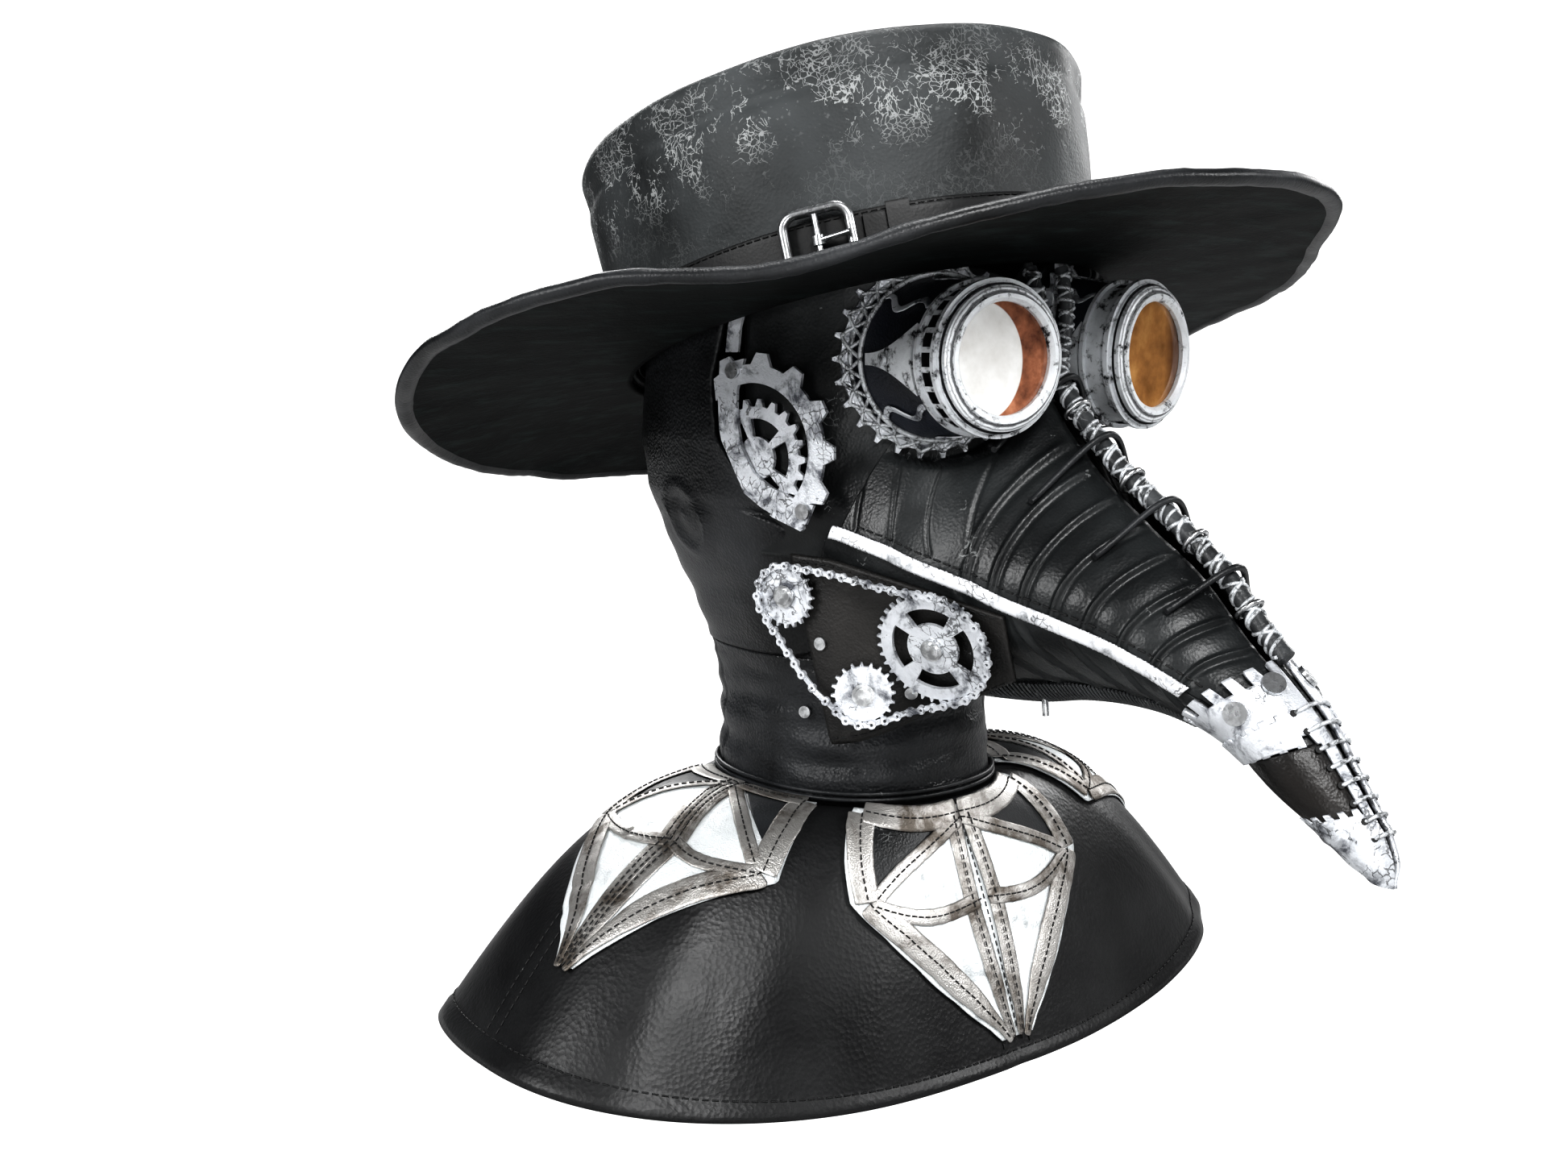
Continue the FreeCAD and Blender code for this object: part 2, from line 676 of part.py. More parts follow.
studs = []
for t, s in ((6.6, 0.07), (6.76, 0.36)):
    one = stud(t, s, 4.4, 1.5, gap + plate + 0.3)
    studs += [one, flip(one)]
feature("tip_rivets", Part.makeCompound(studs))

rungs = []
for t in (7.0, 7.35, 7.7, 8.05, 8.4, 8.75, 9.1, 9.45):
    side = beak_at(t, 0.06, gap + plate * 1.8 + 1.5)
    crest = ridge_at(t, 4.4)
    rungs.append(tube([side, Vector(side.x * 0.55, (side.y + crest.y) / 2 - 0.8, (side.z + crest.z) / 2 + 0.8),
                       crest, Vector(-side.x * 0.55, (side.y + crest.y) / 2 - 0.8, (side.z + crest.z) / 2 + 0.8),
                       Vector(-side.x, side.y, side.z)], 0.7))
feature("tip_lacing", Part.makeCompound(rungs))


def under_at(t, stand):
    ry, rz, ly, lz, wide, bias = along(BEAK, t)
    a = along(BEAK, max(t - 0.1, 0))
    b = along(BEAK, min(t + 0.1, 10))
    run = Vector(0, b[2] - a[2], b[3] - a[3]).normalize()
    out = Vector(0, run.z, -run.y)
    if out.z > 0:
        out = out * -1.0
    return Vector(0, ly, lz) + out * stand


seam = tube([under_at(t, 2.6) for t in (1.2, 2, 3, 4, 5, 6, 6.3)], 1.9)
feature("jaw_seam", seam)
pin_at = under_at(3.2, 5.0) + Vector(-7, 0, 1.5)
feature("jaw_pin", Part.makeCylinder(1.4, 9.0, pin_at + Vector(0, 0, -6.5), Vector(0, 0.1, 1)))


# ------------------------------------------------------------- goggles
splay = math.radians(val("eye_splay"))
lens_dir = Vector(-math.sin(splay), -math.cos(splay), 0)
lens_side = Vector(-math.cos(splay), math.sin(splay), 0)
lens_mid = Vector(-val("eye_x"), -val("eye_ahead"), val("eye_up"))
lens_place = Placement(lens_mid, Rotation(lens_side, lens_dir.cross(lens_side), lens_dir, "ZXY"))
seat_side = Vector(-math.cos(seat_turn), math.sin(seat_turn), 0)
seat_place = Placement(seat_mid, Rotation(seat_side, seat_dir.cross(seat_side), seat_dir, "ZXY"))
seat_rise = 0.6
collar_front = -0.9
collar_back = collar_front - val("collar_long")


def shifted(place, distance):
    return place.multiply(Placement(Vector(0, 0, distance), Rotation()))


def cup_loft(name, inset):
    # tapered cup between the face and the collar
    base = primitive("Circle", name + "_base", shifted(seat_place, seat_rise),
                     Radius="%scup_base_r - %s" % (S, inset))
    mouth = primitive("Circle", name + "_mouth", shifted(lens_place, collar_back - 0.5),
                      Radius="%scollar_r - 0.4 - %s" % (S, inset))
    body = doc.addObject("Part::Loft", name)
    body.Sections = [base, mouth]
    body.Solid = True
    body.Ruled = True
    return body


cup = boolean("Cut", "eyecup", cup_loft("cup_outside", "0"), cup_loft("cup_inside", S + "cup_wall"))
keep(cup, "eyecup_right")
keep(mirrored("eyecup_mirror", cup), "eyecup_left")


def cup_at(turn, share, out):
    # point on the cup, turn 0 = outer side, share 0 = face, 1 = collar
    low_r = val("cup_base_r") + out
    high_r = val("collar_r") - 0.4 + out
    low_p = shifted(seat_place, seat_rise).multVec(Vector(low_r * math.cos(turn), low_r * math.sin(turn), 0))
    high_p = shifted(lens_place, collar_back - 0.5).multVec(
        Vector(high_r * math.cos(turn), high_r * math.sin(turn), 0))
    return low_p + (high_p - low_p) * share


def toothed(label, root_r, tip_r, teeth, thick, root_half, tip_half, hole_r, windows=None):
    # flat toothed plate: pad, one tooth, polar pattern, then the openings
    body = doc.addObject("PartDesign::Body", label + "_body")
    planes = {f.Role: f for f in body.Origin.OriginFeatures}

    def sketch(name):
        sk = doc.addObject("Sketcher::SketchObject", label + "_" + name)
        body.addObject(sk)
        sk.AttachmentSupport = [(planes["XY_Plane"], "")]
        sk.MapMode = "FlatFace"
        return sk

    disc = sketch("disc")
    disc.addGeometry(Part.Circle(Vector(0, 0, 0), Vector(0, 0, 1), root_r), False)
    disc.addConstraint(Sketcher.Constraint("Coincident", 0, 3, -1, 1))
    if hole_r:
        disc.addGeometry(Part.Circle(Vector(0, 0, 0), Vector(0, 0, 1), hole_r), False)
        disc.addConstraint(Sketcher.Constraint("Coincident", 1, 3, -1, 1))
    pad = body.newObject("PartDesign::Pad", label + "_pad")
    pad.Profile = disc
    pad.setExpression("Length", thick)
    tooth = sketch("tooth")
    inner = root_r - 0.8
    quad = [Vector(inner, -root_half, 0), Vector(tip_r, -tip_half, 0),
            Vector(tip_r, tip_half, 0), Vector(inner, root_half, 0)]
    for k in range(4):
        tooth.addGeometry(Part.LineSegment(quad[k], quad[(k + 1) % 4]), False)
    bump = body.newObject("PartDesign::Pad", label + "_tooth_pad")
    bump.Profile = tooth
    bump.setExpression("Length", thick)
    ring = body.newObject("PartDesign::PolarPattern", label + "_teeth")
    ring.Originals = [bump]
    ring.Axis = (planes["Z_Axis"], [""])
    ring.Angle = 360
    ring.Occurrences = int(teeth)
    body.Tip = ring
    bump.Visibility = False
    if windows:
        count, near, far, half = windows
        hole = sketch("window")
        lo = near * math.cos(half), near * math.sin(half)
        hi = far * math.cos(half), far * math.sin(half)
        hole.addGeometry(Part.LineSegment(Vector(lo[0], -lo[1], 0), Vector(hi[0], -hi[1], 0)), False)
        hole.addGeometry(Part.ArcOfCircle(Part.Circle(Vector(0, 0, 0), Vector(0, 0, 1), far), -half, half), False)
        hole.addGeometry(Part.LineSegment(Vector(hi[0], hi[1], 0), Vector(lo[0], lo[1], 0)), False)
        hole.addGeometry(Part.ArcOfCircle(Part.Circle(Vector(0, 0, 0), Vector(0, 0, 1), near), -half, half), False)
        pocket = body.newObject("PartDesign::Pocket", label + "_window_pocket")
        pocket.Profile = hole
        pocket.Type = "ThroughAll"
        pocket.Reversed = True
        fan = body.newObject("PartDesign::PolarPattern", label + "_windows")
        fan.Originals = [pocket]
        fan.Axis = (planes["Z_Axis"], [""])
        fan.Angle = 360
        fan.Occurrences = count
        body.Tip = fan
    return body


spike_root = val("spike_tip_r") - 3.6
base_ring = toothed("base_ring", spike_root, val("spike_tip_r"), val("spike_teeth"), S + "plate",
                    1.9, 0.7, val("cup_base_r") + 1.6)
base_ring.Placement = shifted(seat_place, seat_rise + 0.1)
group("eyecup_base_rings", [base_ring, mirrored("base_ring_left", base_ring)])

# collar with windows on its outer half, seen between two rims
collar = Part.makeCylinder(val("collar_r"), val("collar_long"), Vector(0, 0, collar_back))
collar = collar.cut(Part.makeCylinder(val("collar_bore"), val("collar_long"), Vector(0, 0, collar_back)))
collar_steps = Part.makeCylinder(val("collar_r") + 1.6, 2.2, Vector(0, 0, collar_front - 3.4))
collar_steps = collar_steps.cut(Part.makeCylinder(val("collar_r") - 0.5, 2.2, Vector(0, 0, collar_front - 3.4)))
back_step = Part.makeCylinder(val("collar_r") + 1.6, 1.8, Vector(0, 0, collar_back))
back_step = back_step.cut(Part.makeCylinder(val("collar_r") - 0.5, 1.8, Vector(0, 0, collar_back)))
collar = collar.fuse(collar_steps).fuse(back_step)
for k in range(15):
    turn = 360.0 / 24 * (k - 7)
    box = Part.makeBox(4.0, 5.4, 6.2, Vector(val("collar_r") - 2.6, -2.7, collar_back + 3.2))
    box.rotate(Vector(0, 0, 0), Vector(0, 0, 1), turn)
    collar = collar.cut(box)
collar = collar.removeSplitter()
collar.Placement = lens_place.multiply(Placement(Vector(0, 0, 0), Rotation()))
collar_shape = collar.copy()
feature("eyecup_collars", Part.makeCompound([collar_shape, flip(collar_shape)]))

brackets = []
for turn0, first in ((0.0, 0.30), (math.pi, 0.34)):
    sections = []
    for share in steps(first, 0.97, 7):
        f = (share - first) / (0.97 - first)
        half = 0.07 + 0.40 * f ** 2.2
        turns = steps(turn0 - half, turn0 + half, 7)
        outer = [cup_at(a, share, 1.9) for a in turns]
        inner = [cup_at(a, share, 0.3) for a in reversed(turns)]
        sections.append(outer + inner)
    brackets.append(skin_solid(sections))
    head = cup_at(turn0, first + 0.28, 1.7)
    stem = cup_at(turn0, first + 0.28, 5.0) - head
    brackets[-1] = brackets[-1].fuse(Part.makeCylinder(2.6, 1.6, head, stem.normalize()))
feature("eyecup_brackets", Part.makeCompound(brackets + [flip(b) for b in brackets]))

# retaining ring: stepped front, spigot inside the collar, recess for the lens
spigot_r = val("collar_bore") - val("run_gap")
ring_body = doc.addObject("PartDesign::Body", "ring_body")
ring_planes = {f.Role: f for f in ring_body.Origin.OriginFeatures}
profile = doc.addObject("Sketcher::SketchObject", "ring_profile")
ring_body.addObject(profile)
profile.AttachmentSupport = [(ring_planes["XZ_Plane"], "")]
profile.MapMode = "FlatFace"
recess_r = val("lens_r") + 0.15
outline = [(val("ring_mouth"), 0.2), (val("ring_mouth"), 2.0), (val("ring_mouth") + 1.4, 3.6),
           (val("ring_mouth") + 3.0, 3.6), (val("ring_mouth") + 3.4, 2.6), (val("ring_r") - 1.2, 2.2),
           (val("ring_r"), 1.4), (val("ring_r"), -0.5), (spigot_r, -0.5), (spigot_r, -7.5),
           (recess_r + 0.6, -7.5), (recess_r + 0.6, -4.0), (recess_r, -4.0), (recess_r, 0.2)]
for k, (r, z) in enumerate(outline):
    r2, z2 = outline[(k + 1) % len(outline)]
    profile.addGeometry(Part.LineSegment(Vector(r, z, 0), Vector(r2, z2, 0)), False)
turned = ring_body.newObject("PartDesign::Revolution", "ring_turned")
turned.Profile = profile
turned.ReferenceAxis = (profile, ["V_Axis"])
turned.Angle = 360
ring_body.Placement = lens_place
keep(ring_body, "lens_ring_right")
keep(mirrored("ring_mirror", ring_body), "lens_ring_left")
disc = primitive("Cylinder", "lens_disc", shifted(lens_place, 0.1 - val("lens_thick")),
                 Radius=S + "lens_r", Height=S + "lens_thick")
keep(disc, "lens_right")
keep(mirrored("lens_mirror", disc), "lens_left")

# ------------------------------------------------------------- cheek drive
cheek_turn = math.radians(18.0)
cheek_u = Vector(math.sin(cheek_turn), -math.cos(cheek_turn), 0)
cheek_n = Vector(-math.cos(cheek_turn), -math.sin(cheek_turn), 0)
cheek_zero = Vector(-80.0, -48.0, 0.0)
cheek_fold = -64.0


def cheek_at(u, v, h):
    # side leather: flat at the back, its lower edge turned under towards the front
    tilt = math.radians(18.0) * ease((u - 22.0) / 34.0)
    below = min(v - cheek_fold, 0.0)
    above = max(v - cheek_fold, 0.0)
    down = Vector(0, 0, 1) * math.cos(tilt) + cheek_n * math.sin(tilt)
    normal = cheek_n * math.cos(tilt) - Vector(0, 0, 1) * math.sin(tilt)
    if below < 0:
        return cheek_zero + cheek_u * u + Vector(0, 0, cheek_fold) + down * below + normal * h
    return cheek_zero + cheek_u * u + Vector(0, 0, cheek_fold + above) + cheek_n * h


def cheek_frame(u, v, h, reach=0.5):
    # plane that best follows the side leather within reach of a point, raised by h
    side = (cheek_at(u + reach, v, 0) - cheek_at(u - reach, v, 0)).normalize()
    rise = cheek_at(u, v + reach, 0) - cheek_at(u, v - reach, 0)
    out = side.cross(rise).normalize()
    if out.dot(cheek_n) < 0:
        out = out * -1.0
    corners = [cheek_at(u + a, v + b, 0) for a, b in ((reach, 0), (-reach, 0), (0, reach), (0, -reach))]
    here = (corners[0] + corners[1] + corners[2] + corners[3] + cheek_at(u, v, 0) * 4) * 0.125
    return Placement(here + out * h, Rotation(side, out.cross(side), out, "ZXY"))


panel_thick = val("cloth")
wheel_sign = cheek_frame(0.0, -77.5, 0.0).Rotation.multVec(Vector(0, 1, 0)).z
wheel_sign = math.copysign(1.0, wheel_sign)
panel = []
for share in steps(0.0, 1.0, 13):
    top_u = 2.0 + 94.0 * share
    top_v = steer([(2, -60.5), (20, -61.5), (46, -67.0), (96, -80.5)], top_u)
    low_u = 21.0 + 76.5 * share
    low_v = steer([(21, -138.5), (32, -137.0), (45, -133.0), (70, -122.5), (98, -108)], low_u)
    places = [(top_u + (low_u - top_u) * f, top_v + (low_v - top_v) * f) for f in steps(0, 1, 8)]
    panel.append([cheek_at(u, v, 0.0) for u, v in places]
                 + [cheek_at(u, v, panel_thick) for u, v in reversed(places)])
panel = slab(panel)
feature("cheek_panel_right", panel)
feature("cheek_panel_left", flip(panel))

big_r = val("sprocket_big_r")
small_r = val("sprocket_small_r")
deck = panel_thick + 3.0
WHEELS = [(2.5, -77.5, small_r), (65.5, -94.5, big_r), (33.0, -115.5, small_r)]
big = toothed("big_sprocket", big_r - 1.9, big_r, 36, S + "plate", 1.1, 0.35, 0.0,
              (4, 11.0, 17.8, math.radians(33)))
big.Placement = cheek_frame(65.5, -94.5, deck, big_r * 0.7)
group("cheek_sprockets_large", [big, mirrored("big_left", big)])
small_members = []
for k in (0, 2):
    u, v, r = WHEELS[k]
    small = toothed("small_sprocket_%d" % k, small_r - 1.7, small_r, 20, S + "plate", 1.05, 0.35, 0.0)
    small.Placement = cheek_frame(u, v, deck, r * 0.7)
    small_members += [small, mirrored("small_left_%d" % k, small)]
group("cheek_sprockets_small", small_members)
caps = []
for u, v, r in WHEELS:
    place = cheek_frame(u, v, deck + val("plate") + 0.2, r * 0.7)
    cap = Part.makeCylinder(val("cap_r"), 1.3)
    dome = Part.makeCylinder(val("cap_r") * 0.72, 0.9, Vector(0, 0, 1.3))
    cap = cap.fuse(dome).removeSplitter()
    cap.Placement = place
    cap = cap.copy()
    caps += [cap, flip(cap)]
for u, v in ((17.0, -96.5), (49.5, -117.5)):
    cap = Part.makeCylinder(2.7, 1.0)
    cap.Placement = cheek_frame(u, v, panel_thick + 0.6, 2.0)
    caps += [cap.copy(), flip(cap.copy())]
feature("cheek_cap_rivets", Part.makeCompound(caps))


def belt_path():
    # outer tangents round the three wheels, as arcs and straight runs
    out = []
    wheels = [(u, v, r - 0.4) for u, v, r in WHEELS]
    tangents = []
    for k in range(3):
        u0, v0, r0 = wheels[k]
        u1, v1, r1 = wheels[(k + 1) % 3]
        gap_u, gap_v = u1 - u0, v1 - v0
        far = math.hypot(gap_u, gap_v)
        base = math.atan2(gap_v, gap_u)
        lean = base + math.acos((r0 - r1) / far)
        tangents.append((lean, (u0 + r0 * math.cos(lean), v0 + r0 * math.sin(lean)),
                         (u1 + r1 * math.cos(lean), v1 + r1 * math.sin(lean))))
    for k in range(3):
        lean, start, end = tangents[k]
        for f in steps(0, 1, 40):
            out.append((start[0] + (end[0] - start[0]) * f, start[1] + (end[1] - start[1]) * f))
        u1, v1, r1 = wheels[(k + 1) % 3]
        after = tangents[(k + 1) % 3][0]
        while after > lean:
            after -= 2 * math.pi
        for f in steps(0, 1, 40)[1:-1]:
            a = lean + (after - lean) * f
            out.append((u1 + r1 * math.cos(a), v1 + r1 * math.sin(a)))
    return out


belt = belt_path()
lengths = [0.0]
for k in range(len(belt)):
    a = belt[k]
    b = belt[(k + 1) % len(belt)]
    lengths.append(lengths[-1] + math.hypot(b[0] - a[0], b[1] - a[1]))
link_count = 2 * int(lengths[-1] / val("chain_pitch") / 2)
pitch_used = lengths[-1] / link_count


def belt_spot(distance):
    distance = distance % lengths[-1]
    for k in range(len(belt)):
        if distance <= lengths[k + 1]:
            f = (distance - lengths[k]) / max(lengths[k + 1] - lengths[k], 1e-9)
            a = belt[k]
            b = belt[(k + 1) % len(belt)]
            return a[0] + (b[0] - a[0]) * f, a[1] + (b[1] - a[1]) * f
    return belt[0]


def link_plate(a, b, thick):
    # figure-eight side plate between two pin centres
    far = (b - a).Length
    run = (b - a).normalize()
    plate_shape = Part.makeCylinder(1.75, thick)
    plate_shape = plate_shape.fuse(Part.makeCylinder(1.75, thick, Vector(far, 0, 0)))
    plate_shape = plate_shape.fuse(Part.makeBox(far, 2.1, thick, Vector(0, -1.05, 0)))
    for x in (0.0, far):
        plate_shape = plate_shape.cut(Part.makeCylinder(0.65, thick, Vector(x, 0, 0)))
    return plate_shape.removeSplitter()


wheel_planes = [(u, v, r, cheek_frame(u, v, deck, r * 0.7)) for u, v, r in WHEELS]


def chain_at(u, v, lift):
    # point above the deck, level with the nearest wheel round its rim
    spot = cheek_at(u, v, deck + lift)
    for wheel_u, wheel_v, r, place in wheel_planes:
        away = math.hypot(u - wheel_u, v - wheel_v) - r
        share = 1.0 - ease(away / 9.0)
        level = place.multVec(Vector(u - wheel_u, (v - wheel_v) * wheel_sign, lift))
        spot = spot + (level - spot) * share
    return spot


links = []
for k in range(link_count):
    u0, v0 = belt_spot(k * pitch_used)
    u1, v1 = belt_spot((k + 1) * pitch_used)
    lift = val("plate") + 0.3 + (1.2 if k % 2 else 0.0)
    a = chain_at(u0, v0, lift)
    b = chain_at(u1, v1, lift)
    out = (chain_at((u0 + u1) / 2, (v0 + v1) / 2, lift + 1.0)
           - chain_at((u0 + u1) / 2, (v0 + v1) / 2, lift)).normalize()
    one = link_plate(a, b, 0.9)
    side = (b - a).normalize()
    across = out.cross(side).normalize()
    one.Placement = Placement(a, Rotation(side, across, side.cross(across), "ZXY"))
    links.append(one.copy())
feature("cheek_chains", Part.makeCompound(links + [flip(link) for link in links]))

# ------------------------------------------------------------- temple ornament
temple_turn = math.radians(16.0)
temple_u = Vector(math.sin(temple_turn), -math.cos(temple_turn), 0)
temple_n = Vector(-math.cos(temple_turn), -math.sin(temple_turn), 0)
temple_zero = Vector(-80.4, -38.0, 0.0)


def temple_place(u, z, h):
    spot = temple_zero + temple_u * u + Vector(0, 0, z) + temple_n * h
    return Placement(spot, Rotation(temple_u, temple_n.cross(temple_u), temple_n, "ZXY"))


# front edge of the hood over the temple: u, z on the ornament's plane
HOOD_EDGE = [(-20.5, 42.0), (-28.3, 10.4), (-25.8, -13.1), (-13.5, -36.4), (0.9, -45.8), (17.1, -51.6)]
up_sign = temple_n.cross(temple_u).z


def temple_outline(points, height, lift):
    flat = [Vector(u, z * up_sign, 0) for u, z in points]
    solid = Part.Face(Part.makePolygon(flat + [flat[0]])).extrude(Vector(0, 0, height))
    solid.Placement = temple_place(0, 0, lift)
    return solid.copy()


seen = [(u + 2.4, z) for u, z in HOOD_EDGE] + [(60, -51.6), (60, 60), (-18.9, 60)]
window = temple_outline(seen, 20.0, -5.0)
scallop = toothed("scallop", val("temple_r") - 4.8, val("temple_r"), 13, S + "plate", 5.2, 2.6,
                  val("temple_r") - 12.4)
scallop.Placement = temple_place(-6.0, -18.5, 3.4)
doc.recompute()
blade = temple_outline([(-10, 19), (-20, 17), (-24, 6), (-23.5, -10), (-20, -26), (-11, -38), (4, -45),
                        (20, -48), (24, -40), (14, -37.5), (4, -34), (-6, -28), (-12, -18), (-14.5, -5),
                        (-14, 6)], val("plate"), 3.4)
ring_shape = scallop.Shape.common(window)
ring_shape = biggest(ring_shape.fuse(blade.common(window)).removeSplitter())
feature("temple_rings", Part.makeCompound([ring_shape, flip(ring_shape)]))
inner_gear = toothed("inner_gear", val("temple_gear_r") - 3.2, val("temple_gear_r"), 21, S + "plate",
                     2.3, 0.9, 0.0, (5, 9.0, 16.4, math.radians(27)))
inner_gear.Placement = temple_place(-6.0, -22.0, 1.2)
doc.recompute()
gear_shape = biggest(inner_gear.Shape.common(window))
feature("temple_gears", Part.makeCompound([gear_shape, flip(gear_shape)]))
pins = []
for u, z in ((-15.5, 14.0), (19.2, -42.6)):
    pin = Part.makeCylinder(3.3, 1.5)
    pin.Placement = temple_place(u, z, 3.4 + val("plate") + 0.2)
    pins += [pin.copy(), flip(pin.copy())]
feature("temple_rivets", Part.makeCompound(pins))
strip = temple_outline([(-15.8, 44), (-9.6, 44), (-13.5, 32), (-15.0, 21.5), (-21.5, 21.5), (-20, 32)],
                       val("plate") * 0.8, 1.2)
feature("temple_strips", Part.makeCompound([strip, flip(strip)]))

# ------------------------------------------------------------- hood and mantle
# height, half width, front, back, middle of the hood at that height
HOOD = [
    (-176, 58.0, 63.0, 72.0, 2.0), (-160, 56.5, 61.0, 70.5, 2.0), (-140, 56.0, 59.0, 70.0, 2.0),
    (-120, 58.0, 58.0, 72.0, 2.0), (-100, 64.0, 59.0, 78.0, 3.0), (-80, 72.0, 64.0, 86.0, 3.0),
    (-60, 80.5, 78.0, 93.0, 3.0), (-40, 87.6, 96.0, 99.0, 3.0), (-15, 91.0, 98.0, 101.0, 3.0),
    (10, 90.5, 98.0, 94.5, 3.0), (45, 88.0, 97.0, 99.0, 3.0), (70, 81.0, 92.0, 97.0, 3.0),
    (90, 68.0, 80.0, 84.0, 4.0), (102, 50.0, 60.0, 64.0, 4.0), (107, 30.0, 36.0, 38.0, 5.0),
    (109.5, 5.0, 6.0, 6.0, 6.0),
]
# how far forward the hood's edge comes at each height
HOOD_FRONT = [(-112, -34.0), (-100, -36.0), (-52, -42.0), (-47, -38.0), (-36, -27.0), (-13, -11.5),
              (10, -9.0), (40, -17.0), (60, -28.0), (80, -40.0), (102, -40.0), (109.5, -5.0)]


def hood_row(z):
    for lower_row, upper_row in zip(HOOD, HOOD[1:]):
        if z <= upper_row[0]:
            f = (z - lower_row[0]) / float(upper_row[0] - lower_row[0])
            return [a + (b - a) * f for a, b in zip(lower_row, upper_row)]
    return list(HOOD[-1])


def hood_at(angle, z, out):
    row = hood_row(z)
    x, y = oval(angle, row[1] + out, row[2] + out, row[3] + out, row[4], 2.25)
    return Vector(x, y, z)


def hood_start(z):
    # first angle of the hood at this height, from its front edge
    limit = steer(HOOD_FRONT, z)
    angle = 0.02
    while angle < 2.5 and hood_at(angle, z, 0.0).y < limit:
        angle += 0.005
    return angle


cloth = val("cloth")
half_hood = []
for z in (-111, -100, -85, -70, -60, -52, -47, -40, -30, -15, 0, 15, 30, 45, 60, 75, 90, 99, 104, 107, 109.4):
    angles = steps(hood_start(z), math.pi - 0.004, 19)
    half_hood.append([hood_at(a, z, 0.0) for a in angles]
                     + [hood_at(a, z, -cloth) for a in reversed(angles)])
hood = slab(half_hood)
feature("hood_right", hood)
feature("hood_left", flip(hood))


def full_turn(z, out, count=40):
    angles = steps(0.0, math.pi, count // 2 + 1)
    right = [hood_at(a, z, out) for a in angles]
    left = [Vector(-p.x, p.y, p.z) for p in reversed(right[1:-1])]
    return right + left


neck_levels = (-174, -160, -145, -130, -118, -111.6)
neck_solid = slab([full_turn(z, 0.0) for z in neck_levels])
neck_hole = slab([full_turn(z, -cloth) for z in (-175, -160, -145, -130, -118, -110)])
feature("neck", neck_solid.cut(neck_hole))


def mantle_at(angle, share, out):
    # neckline at share 0, hem at share 1, rounded over the shoulders
    neck = hood_at(angle, -176, 0.6 + out)
    x, y = oval(angle, val("hem_x"), val("hem_front"), val("hem_back"), 0.0, 2.45)
    side = abs(math.sin(angle)) ** 2
    drop = -val("hem_drop") + 20.0 * side
    bulge = math.sin(math.pi * share) * (6.0 + 16.0 * side)
    fall = share ** (1.0 + 0.35 * side)
    return Vector(neck.x + (x - neck.x) * share, neck.y + (y - neck.y) * share,
                  neck.z + (drop - neck.z) * fall + bulge + out)


def mantle_panel(first, last):
    sections = []
    for angle in steps(first, last, 13):
        shares = steps(0.0, 1.0, 10)
        outer = [mantle_at(angle, f, 0.0) for f in shares]
        inner = [mantle_at(angle, f, -cloth) for f in reversed(shares)]
        sections.append(outer + inner)
    return skin_solid(sections)


shoulder = math.radians(92.0)
front_panel = mantle_panel(0.004, shoulder - 0.003)
back_panel = mantle_panel(shoulder + 0.003, math.pi - 0.003)
feature("mantle_front_right", front_panel)
feature("mantle_front_left", flip(front_panel))
feature("mantle_back_right", back_panel)
feature("mantle_back_left", flip(back_panel))


def kite(first_turn, outline, count=9):
    # laid-on ornament between left and right edges given down the mantle
    sections = []
    for share in steps(outline[0][0], outline[-1][0], count):
        left = steer([(f, a) for f, a, b in outline], share)
        right = steer([(f, b) for f, a, b in outline], share)
        turns = steps(first_turn + left, first_turn + right, 9)
        outer = [mantle_side(a, share, 2.2) for a in turns]
        inner = [mantle_side(a, share, 1.0) for a in reversed(turns)]
        sections.append(outer + inner)
    return skin_solid(sections)


def mantle_side(angle, share, out):
    # as mantle_at but for any angle, also past the middle plane
    if angle < 0:
        p = mantle_side(-angle, share, out)
        return Vector(-p.x, p.y, p.z)
    here = mantle_at(angle, share, 0.0)
    along_turn = mantle_at(angle + 0.02, share, 0.0) - mantle_at(max(angle - 0.02, 0.0), share, 0.0)
    along_fall = mantle_at(angle, min(share + 0.02, 1.0), 0.0) - mantle_at(angle, max(share - 0.02, 0.0), 0.0)
    normal = along_turn.cross(along_fall).normalize()
    if normal.z < 0:
        normal = normal * -1.0
    return here + normal * out


KITE = [(0.05, -0.60, 0.60), (0.30, -0.62, 0.62), (0.45, -0.42, 0.42), (0.70, -0.16, 0.16), (0.93, -0.015, 0.015)]
front_kite = kite(0.0, KITE, 11)
feature("mantle_applique_front", front_kite)
side_kite = kite(shoulder, KITE, 11)
feature("mantle_appliques_side", Part.makeCompound([side_kite, flip(side_kite)]))

snaps = []
for y, z in ((-24.0, -135.5), (-37.0, -132.8)):
    angle = 0.02
    while hood_at(angle, z, 0).y < y:
        angle += 0.004
    spot = hood_at(angle, z, 0.6)
    out = (hood_at(angle, z, 3.0) - spot).normalize()
    snap = Part.makeCylinder(2.7, 1.1, spot, out)
    snaps += [snap, flip(snap)]
feature("neck_snaps", Part.makeCompound(snaps))

